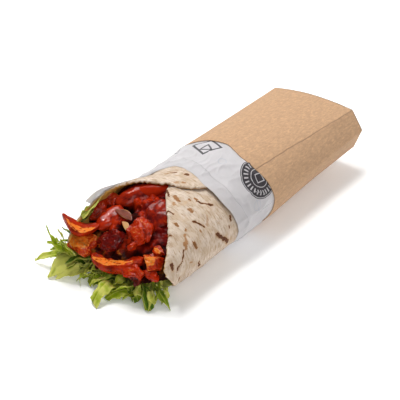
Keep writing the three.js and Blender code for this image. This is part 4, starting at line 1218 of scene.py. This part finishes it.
def chicken_piece(spec, seed):
    """One strip or chunk: torn flats and grain on a rough or kite one, a flat grained face on a cut one.

    Gives its points and faces, how high each point stands and how much bare meat shows."""
    start, end, width, thickness, bend, kind, _, meat = spec
    draw = np.random.default_rng(CHICKEN_SEED + seed)
    start, end = np.array(start, float), np.array(end, float)
    axis, side, up = morsel_axes(start, end)
    length, middle = np.linalg.norm(end - start), (start + end) / 2
    lump_depth, grain_depth, pit_depth, knobs, warp_depth = RELIEF[kind]
    # A kite starts out larger, because its flats cut its corners away
    longer, wider = (2.5, 1.75) if kind == "kite" else (0.8, 1.16)
    body = morsel(start - axis * longer, end + axis * longer, width * wider, thickness * 1.1, bend, kind)
    shells = [body] + [torn_knob(draw, spec, (axis, side, up), middle, length) for _ in range(knobs)]
    points, faces, normals = remeshed(shells, CHICKEN_VOXEL)
    local = np.stack([(points - middle) @ axis, (points - middle) @ side, (points - middle) @ up], -1)
    lumps = rough(local, (6, 4, 4), 2, seed)
    grain = ridges(local, (7, 1.4, 1.4), 2, seed + 40) - 0.65
    pits = rough(local, 1.3, 2, seed + 11)
    push = lump_depth * lumps + grain_depth * grain + pit_depth * pits
    s, v = 2 * local[:, 0] / length, 2 * local[:, 1] / width
    rim = 1 - np.hypot(s, v)
    flesh = meat * (0.35 + 1.1 * ease(0.1, 0.7, rim) * ease(-0.2, 0.6, 2 * local[:, 2] / thickness))
    warp = np.stack([noise(local, 7.0, seed + shift) for shift in (60, 61, 62)], -1)
    points = points + warp_depth * warp
    if kind in ("rough", "kite"):
        half = np.array([length, width, thickness]) / 2
        for _ in range(FACETS):
            out = draw.normal(size=3)
            out = out / np.linalg.norm(out)
            reach = draw.uniform(0.68, 0.92) * np.linalg.norm(half * out)
            over = local @ out - reach
            flat = axis * out[0] + side * out[1] + up * out[2]
            points = points - FACET_DEPTH * np.maximum(over, 0)[:, None] * flat
            # the crag rises along each flat's edge: thinner sauce there, and less painted shade
            lumps = lumps + 0.25 * ease(0.4, 0, np.abs(over))
    if kind == "cut":
        flat = up * math.cos(CUT_TILT) + side * math.sin(CUT_TILT)
        points = points - side * (CUT_TAPER * local[:, 1] * s ** 2)[:, None]
        over = (points - middle) @ flat - 0.12 * thickness
        points = points - side * (2 * bend * (s ** 2 - 0.4))[:, None]
        over = over - 0.35 * rough(local, (5, 1.3, 1.3), 2, seed + 7)
        points = points - np.maximum(over, 0)[:, None] * flat
        on_face = ease(-0.2, 0.5, over)
        push = push * (1 - 0.75 * on_face)
        patchy = 0.8 + 0.7 * rough(local, 2.4, 2, seed + 5)
        flesh = on_face * ease(0.02, 0.30, rim) * (meat + 0.45) * patchy
    points = points + normals * push[:, None]
    return keep_inside(points, 0.3), faces, lumps + 1.2 * grain + 0.5 * pits, flesh


def torn_knob(draw, spec, axes, middle, length):
    """A small torn lump somewhere on the side of a piece."""
    width, thickness = spec[2:4]
    axis, side, up = axes
    s, turn = draw.uniform(-0.95, 0.95), draw.uniform(0, 2 * math.pi)
    place = middle + axis * s * length / 2 + side * math.cos(turn) * width * 0.40
    place = place + up * math.sin(turn) * thickness * 0.40
    out = axis * draw.uniform(-1, 1) + side * math.cos(turn) + up * math.sin(turn)
    out = out / np.linalg.norm(out) * draw.uniform(1.4, 3.0)
    size = draw.uniform(0.22, 0.42) * min(width, thickness)
    return morsel(place - out, place + out, size, size * 0.8, 0, "smooth", 5)


def make_chicken(look):
    """The strips and chunks of chicken at the mouth, each its own piece."""
    coated = {"smooth": sauced_material("Sauced Strip", look), "cut": sauced_material("Cut Strip", look)}
    coated["rough"] = coated["kite"] = sauced_material("Sauced Chunk", look)
    for number, spec in enumerate(CHICKEN):
        kind, tone, meat = spec[5:]
        points, faces, crag, flesh = chicken_piece(spec, number)
        depths = CUT_OPEN_DEPTHS if kind == "cut" else OPEN_DEPTHS
        lost_light = (1 - crevice_shade(points, *depths)) * (1 - meat)
        shell = Shell()
        shell.add(points, faces, tone=tone, meat=flesh, crag=crag, shade=1 - lost_light)
        piece = shell.piece(f"chicken_piece_{number + 1:02d}", coated[kind])
        finish_piece(piece, "chicken", f"chicken_{number + 1:02d}")


def make_sauce(look):
    """Thick smooth sauce that fills the gaps at the back and down the right side of the mouth."""
    shells = [morsel(start, end, width, thickness, 0.4, "smooth", 8)
              for start, end, width, thickness, _, _ in SAUCE_POOLS]
    points, faces, normals = remeshed(shells, SAUCE_VOXEL)
    nearest = nearest_shell(points, [p for p, _ in shells])
    tone, shade = np.array([pool[4:] for pool in SAUCE_POOLS])[nearest].T
    points = keep_inside(points + normals * (0.3 * rough(points, (10, 10, 7), 1, 12))[:, None], 0.6)
    shell = Shell()
    shell.add(points, faces, tone=tone, meat=0, crag=0.2, shade=shade)
    piece = shell.piece("thick_sauce", sauced_material("Thick Sauce", look))
    return finish_piece(piece, "sauced_filling")


def make_onions(look):
    """Two curved slices of onion on the chicken."""
    material = onion_material(look)
    for number, (start, end, width, thickness, bend) in enumerate(ONION):
        points, faces = morsel(start, end, width, thickness, bend, "slice", 18)
        start, end = np.array(start, float), np.array(end, float)
        axis, side, up = morsel_axes(start, end)
        middle = (start + end) / 2
        along = 2 * (points - middle) @ axis / np.linalg.norm(end - start)
        across = (points - middle) @ side / (width / 2)
        inset = 0.5 * across * along ** 2 * width / 2 + 1.2 * (along ** 2 - 0.4)
        points = points - side * inset[:, None]
        points = points + up * (0.35 * across ** 2 + 0.3 * noise(points, 4.0, 3))[:, None]
        shell = Shell()
        shell.add(points, faces, rim=ease(0.75, 1.0, np.abs(across)), pale=0.9 * number)
        piece = shell.piece(f"onion_slice_{number + 1:02d}", material)
        finish_piece(piece, "onion", f"onion_{number + 1:02d}")


# How wide a blade is at each share of its length, from 0 at the root to 1 at the tip
BLADE_OUTLINES = {
    "point": lambda s: 1 - s ** 2.2,
    "blunt": lambda s: 1 - 0.35 * s ** 4,
    "kite": lambda s: np.minimum(0.4 + 1.6 * s, 1) * np.clip((1 - s) / 0.55, 0, 1) ** 0.8,
}


def add_blade(shell, spec, seed, steps=44, across=13):
    """A thin leaf blade from root to tip: crinkled, cupped along its rib, with a ragged edge."""
    root, tip, width, arch, bow, lean, outline, leaf = spec
    root, tip = np.array(root, float), np.array(tip, float)
    run = tip - root
    length = np.linalg.norm(run)
    sideways = np.array([-run[1], run[0], 0]) / np.hypot(run[0], run[1])
    s, e = np.meshgrid(np.linspace(0, 1, steps), np.linspace(-1, 1, across), indexing="ij")
    hump = 4 * s * (1 - s)
    narrowing = BLADE_OUTLINES[outline](s)
    half = width / 2 * narrowing * (0.85 + 0.15 * np.sin(6 * s + seed)) + SHRED_TIP / 2
    edge_at = np.stack([s * length, 9 * np.sign(e), 0 * s + 5 * seed], -1)
    half = half * (1 + 0.30 * noise(edge_at, 5.0, seed) + 0.16 * noise(edge_at, 1.5, seed))
    tilt = np.radians(lean * np.cos(1.2 * s + 0.3 * math.sin(seed)))
    leaf_at = np.stack([s * length, e * half, 0 * s + 9 * seed], -1)
    crinkle = 0.6 * rough(leaf_at, (5.0, 3.0, 1), 2, seed) + 0.8 * noise(leaf_at, (14.0, 2.0, 1), seed + 9)
    wave = RUFFLE * e ** 2 * np.sin(11 * s + e * 1.3 + seed * 1.7)
    cup = 0.13 * width * (e ** 2 - 0.3) * (1 if seed % 3 else -0.6)
    up = e * half * np.sin(tilt) + wave + cup + min(width / 7, 1) * 0.75 * crinkle
    skew = SKEW * half * e * s * (1 if seed % 2 else -1)
    centre = root + run * s[..., None] + sideways * (bow * hump)[..., None]
    lowest = np.max(half * np.abs(np.sin(tilt)), axis=1, keepdims=True) + RUFFLE + SHRED_THICKNESS / 2
    centre[..., 2] = np.maximum(centre[..., 2] + arch * hump, lowest)
    place = centre + sideways * (e * half * np.cos(tilt))[..., None] + (run / length) * skew[..., None]
    thin = SHRED_THICKNESS / 2 * (1 - 0.5 * np.abs(e)) * (1 + 0.6 * np.exp(-(e / 0.18) ** 2))
    upper, lower = place.copy(), place.copy()
    upper[..., 2] += up + thin
    lower[..., 2] += up - thin
    sunk = min(lower[..., 2].min() - 0.1, 0)
    points, faces, _ = folded_sheet(upper[::-1], lower[::-1], False, 2)
    points[..., 2] -= sunk
    rounds = [np.concatenate([values, np.repeat(values[-1:], 2, 0), values[::-1]])
              for values in (e, leaf_at, crinkle)]
    shell.add(points, faces, leaf=leaf, across=rounds[0], leaf_at=rounds[1], crag=rounds[2])


def small_blades(draw, count):
    """Short curled pieces of leaf that fill the heap under the chicken, in all directions."""
    blades = []
    for _ in range(count):
        x, z = draw.uniform(-31, 24), draw.uniform(2.5, 12)
        y = -99 - 9 * draw.random() - 4 * math.cos(x / 20)
        heading = math.radians(-90 + x * 0.8 + draw.uniform(-80, 80))
        long = draw.uniform(4, 10)
        tip_z = max(z - draw.uniform(-2, 7), 1.2)
        tip = (x + long * math.cos(heading), y + long * math.sin(heading), tip_z)
        width, arch, bow = draw.uniform(2.5, 8.0), draw.uniform(-1, 4), draw.uniform(-2.5, 2.5)
        lean, outline = draw.uniform(-70, 70), draw.choice(list(BLADE_OUTLINES))
        blades.append(((x, y, z), tip, width, arch, bow, lean, outline, draw.uniform(0.1, 0.9)))
    return blades


# Bits of leaf by the left wall of the mouth, between the tortilla and the chicken, as in SHREDS
WALL_BLADES = (
    ((-32.3, -88.1, 42.2), (-34.5, -102.4, 36.7), 5, 0, 1, 60, "blunt", 0.08),
    ((-32.9, -93.3, 37.4), (-34.5, -103.1, 33.2), 5, 0, 1, 55, "kite", 0.85),
    ((-33.6, -96.8, 41), (-34.8, -103.9, 36.3), 4, 0, -1, 60, "point", 0.30),
    ((-32, -115.5, 18.5), (-34.2, -122.3, 29.8), 9, 0, -1, -20, "kite", 0.62),
    ((-31.6, -113.5, 16.1), (-33.4, -119.7, 24.4), 8, 0, 1, -10, "kite", 0.20),
)


def make_lettuce(look):
    """Shredded lettuce: a ruffled bed through the roll and the blades that spill from its mouth."""
    material = lettuce_material(look)
    draw = np.random.default_rng(23)
    bed = Shell()
    lengths = np.concatenate([np.linspace(FILLING_END - 1, -50, 14), np.linspace(-54, -110, 40)])
    rings = []
    for y in lengths:
        depth = FILLING_DEPTH + tail_taper(y)
        roof = float(bed_top(y)) - 14 * (1 - nose(y))
        sink = 3.6 * ease(-84, -88, y)
        turned = np.arange(0, 91)
        sides = [layer(270.0 + way * turned, y, depth + 0 * turned)[:, 2] for way in (-1, 1)]
        left, right = [int(np.argmax(side > roof)) - 1 for side in sides]
        ring = layer(np.linspace(270.0 - left, 270.0 + right, 70), y, depth + np.zeros(70))
        ring[:, 0] *= nose(y)
        ring[:, 2] = np.maximum(ring[:, 2] - sink, 0.6)
        rings.append(ring)
    points, faces = lofted(np.array(rings))
    height = rough(points, (5, 7, 3), 3, 4)
    points = points + height[:, None] * np.array([0, -1.2, 0.5]) * ease(-60, -95, points[:, 1])[:, None]
    points[:, 2] = np.maximum(points[:, 2], 0.3)
    # the bed's crag is lowered by 0.5, so painted shade darkens it under the blades
    bed.add(points, faces, leaf=0.75, across=1, leaf_at=points, crag=height - 0.5)
    finish_piece(bed.piece("lettuce_bed", material), "lettuce", "lettuce")
    blades = Shell()
    for number, spec in enumerate(SHREDS + WALL_BLADES):
        add_blade(blades, spec, number)
    for number, spec in enumerate(small_blades(draw, look.blade_count)):
        add_blade(blades, spec, 60 + number, 14, 5)
    finish_piece(blades.piece("lettuce_shreds", material), "lettuce", "lettuce")


# ---- Floor, light and camera ----
CAMERA_AZIMUTH, CAMERA_ELEVATION, CAMERA_AIM = 37.0, 31.5, (-10.6, -16.7, 14.5)
FLOOR_SIZE = 6.0
# Name, place from the aim point in metres, size, share of the key light's power
LIGHTS = (
    ("key", (-0.28, 0.12, 0.95), 0.50, 1.00),
    ("fill", (1.02, -0.62, 0.82), 1.00, 1.00),
    ("back", (0.25, 1.35, 0.60), 0.84, 0.48),
    ("left", (-1.00, 0.45, 0.50), 0.60, 0.50),
    ("spark", (-0.20, -0.10, 0.90), 0.04, 0.12),
)


def make_stage(look):
    """A pale floor, a key light overhead, a wide one from the front right, weaker ones behind and on the
    left, a small one for highlights, and the camera."""
    scene = bpy.context.scene
    scene.view_settings.view_transform = "Standard"
    half = FLOOR_SIZE / 2
    corners = [(-half, -half, 0), (half, -half, 0), (half, half, 0), (-half, half, 0)]
    mesh = bpy.data.meshes.new("floor")
    mesh.from_pydata(corners, [], [(0, 1, 2, 3)])
    mesh.materials.append(new_material("Pale Floor", look.floor_colour, 0.85, Emission_Color=(1, 1, 1, 1),
                                       Emission_Strength=look.floor_glow)[0])
    stand("floor", mesh)
    scene.world = bpy.data.worlds.new("Studio")
    scene.world.use_nodes = True
    tree = scene.world.node_tree
    height = node(tree, "SeparateXYZ", {0: node(tree, "TexCoord", {}).outputs["Generated"]}).outputs[2]
    strength = window(tree, height, 0.1, 0.9, look.ambient * 0.5, look.ambient * 1.6)
    feed(tree, tree.nodes["Background"], {"Color": (1.0, 0.99, 0.98, 1), "Strength": strength})
    aim = Vector(row_frame(CAMERA_AIM))
    for name, place, size, share in LIGHTS:
        light = bpy.data.lights.new(name, "AREA")
        light.energy, light.size = look.key_power * share, size
        stand(name, light, aim + Vector(place), Vector(place).to_track_quat("Z", "Y"))
    azimuth, elevation = math.radians(CAMERA_AZIMUTH), math.radians(CAMERA_ELEVATION)
    towards = Vector((-math.sin(azimuth) * math.cos(elevation), math.cos(azimuth) * math.cos(elevation),
                      -math.sin(elevation)))
    camera = bpy.data.cameras.new("camera")
    camera.lens, camera.clip_start = look.lens, 0.05
    place = aim - towards * look.camera_distance
    scene.camera = stand("camera", camera, place, towards.to_track_quat("-Z", "Y"))


# ---- Add-on ----

def colour_property(name, description, default):
    """A colour that a user may pick."""
    return FloatVectorProperty(name=name, description=description, subtype="COLOR", size=3, min=0, max=1,
                               default=default)


class WrapLook(bpy.types.PropertyGroup):
    """Colours and sizes of the wrap that a user may change."""
    card_colour: colour_property("Card", "Brown of the card sleeve", (0.505, 0.31, 0.175))
    paper_colour: colour_property("Paper", "White of the thin paper", (0.71, 0.675, 0.69))
    ink_colour: colour_property("Ink", "Dark ink of the prints on the paper", (0.045, 0.04, 0.045))
    tortilla_colour: colour_property("Tortilla", "Floury face of the tortilla", (0.655, 0.55, 0.455))
    inner_colour: colour_property("Tortilla inside", "Oily inner face of the tortilla", (0.56, 0.29, 0.055))
    toast_colour: colour_property("Toasted", "Edges of the griddle marks", (0.40, 0.17, 0.045))
    griddle_colour: colour_property("Griddle mark", "Middle of the griddle marks", (0.115, 0.036, 0.012))
    bright_sauce: colour_property("Bright sauce", "Thin red sauce", (0.41, 0.021, 0.002))
    dark_sauce: colour_property("Dark sauce", "Thick crimson sauce", (0.12, 0.004, 0.003))
    orange_meat: colour_property("Orange meat", "Chicken under thin sauce", (0.77, 0.17, 0.012))
    pale_meat: colour_property("Pale meat", "Bare cooked chicken", (0.70, 0.28, 0.05))
    onion_colour: colour_property("Onion", "Mauve body of the onion slices", (0.25, 0.08, 0.055))
    onion_rim: colour_property("Onion rim", "Pale rim of the onion slices", (0.58, 0.32, 0.12))
    lettuce_pale: colour_property("Pale lettuce", "Rib and heart of the leaves", (0.60, 0.60, 0.14))
    lettuce_mid: colour_property("Lettuce", "Middle green of the leaves", (0.27, 0.36, 0.003))
    lettuce_dark: colour_property("Dark lettuce", "Outer green of the leaves", (0.028, 0.10, 0.002))
    floor_colour: colour_property("Floor", "Pale floor", (0.97, 0.97, 0.97))
    wrinkle_depth: FloatProperty(
        name="Wrinkles", description="How strong the tortilla's wrinkles are", default=1.3, min=0, max=3,
        subtype="FACTOR")
    scrap_count: IntProperty(
        name="Chicken shreds", description="Small shreds between the strips", default=80, min=0, max=300)
    blade_count: IntProperty(
        name="Small leaves", description="Short pieces of leaf in the heap", default=55, min=0, max=300)
    key_power: FloatProperty(
        name="Key light", description="Power of the main light", default=8.0, min=0, unit="POWER")
    ambient: FloatProperty(
        name="Ambient light", description="Strength of the light from all round", default=0.10, min=0)
    floor_glow: FloatProperty(
        name="Floor glow", description="How much the floor shines by itself", default=0.14, min=0)
    camera_distance: FloatProperty(
        name="Camera distance", description="From the camera to the wrap", default=0.8, min=0.1,
        unit="LENGTH", subtype="DISTANCE")
    lens: FloatProperty(
        name="Lens", description="Focal length of the camera", default=111.6, min=10, unit="CAMERA")


class WRAP_OT_sleeve(bpy.types.Operator):
    """Make the card sleeve with its scored folds and shut end"""
    bl_idname = "wrap.sleeve"
    bl_label = "Card Sleeve"

    def execute(self, context):
        make_sleeve(context.scene.wrap_look)
        return {"FINISHED"}


class WRAP_OT_paper(bpy.types.Operator):
    """Make the printed paper round the roll"""
    bl_idname = "wrap.paper"
    bl_label = "Paper"

    def execute(self, context):
        make_paper(context.scene.wrap_look)
        return {"FINISHED"}


class WRAP_OT_tortilla(bpy.types.Operator):
    """Make the rolled flour tortilla with its griddle marks"""
    bl_idname = "wrap.tortilla"
    bl_label = "Tortilla"

    def execute(self, context):
        make_tortilla(context.scene.wrap_look)
        return {"FINISHED"}


class WRAP_OT_filling(bpy.types.Operator):
    """Make the saucy mass of chicken inside the roll"""
    bl_idname = "wrap.filling"
    bl_label = "Filling"

    def execute(self, context):
        make_filling(context.scene.wrap_look)
        make_sauce(context.scene.wrap_look)
        return {"FINISHED"}


class WRAP_OT_chicken(bpy.types.Operator):
    """Make the strips and chunks of chicken at the mouth"""
    bl_idname = "wrap.chicken"
    bl_label = "Chicken"

    def execute(self, context):
        make_chicken(context.scene.wrap_look)
        return {"FINISHED"}


class WRAP_OT_onions(bpy.types.Operator):
    """Make the slices of onion on the chicken"""
    bl_idname = "wrap.onions"
    bl_label = "Onion"

    def execute(self, context):
        make_onions(context.scene.wrap_look)
        return {"FINISHED"}


class WRAP_OT_lettuce(bpy.types.Operator):
    """Make the shredded lettuce under the chicken"""
    bl_idname = "wrap.lettuce"
    bl_label = "Lettuce"

    def execute(self, context):
        make_lettuce(context.scene.wrap_look)
        return {"FINISHED"}


class WRAP_OT_stage(bpy.types.Operator):
    """Make the pale floor, the lights and the camera"""
    bl_idname = "wrap.stage"
    bl_label = "Floor, Light and Camera"

    def execute(self, context):
        make_stage(context.scene.wrap_look)
        return {"FINISHED"}


STEPS = (WRAP_OT_sleeve, WRAP_OT_paper, WRAP_OT_tortilla, WRAP_OT_filling, WRAP_OT_chicken, WRAP_OT_onions,
         WRAP_OT_lettuce, WRAP_OT_stage)


class WRAP_PT_sidebar(bpy.types.Panel):
    """The wrap's settings and the steps that make it"""
    bl_idname = "WRAP_PT_sidebar"
    bl_label = "Chicken Wrap"
    bl_space_type = "VIEW_3D"
    bl_region_type = "UI"
    bl_category = "Wrap"

    def draw(self, context):
        for name in WrapLook.__annotations__:
            self.layout.prop(context.scene.wrap_look, name)
        for hem_edge_shadow in STEPS:
            self.layout.operator(hem_edge_shadow.bl_idname)


CLASSES = (WrapLook, *STEPS, WRAP_PT_sidebar)


def register():
    for kind in CLASSES:
        bpy.utils.register_class(kind)
    bpy.types.Scene.wrap_look = PointerProperty(type=WrapLook)


def unregister():
    del bpy.types.Scene.wrap_look
    for kind in reversed(CLASSES):
        bpy.utils.unregister_class(kind)


def main():
    register()
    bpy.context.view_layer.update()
    for make_group in (make_mottle_group, make_fibre_group, make_outline_group, make_sauced_group):
        make_group()
    bpy.ops.wrap.stage()
    bpy.ops.wrap.sleeve()
    bpy.ops.wrap.paper()
    bpy.ops.wrap.tortilla()
    bpy.ops.wrap.filling()
    bpy.ops.wrap.chicken()
    bpy.ops.wrap.onions()
    bpy.ops.wrap.lettuce()


if __name__ == "__main__":
    main()
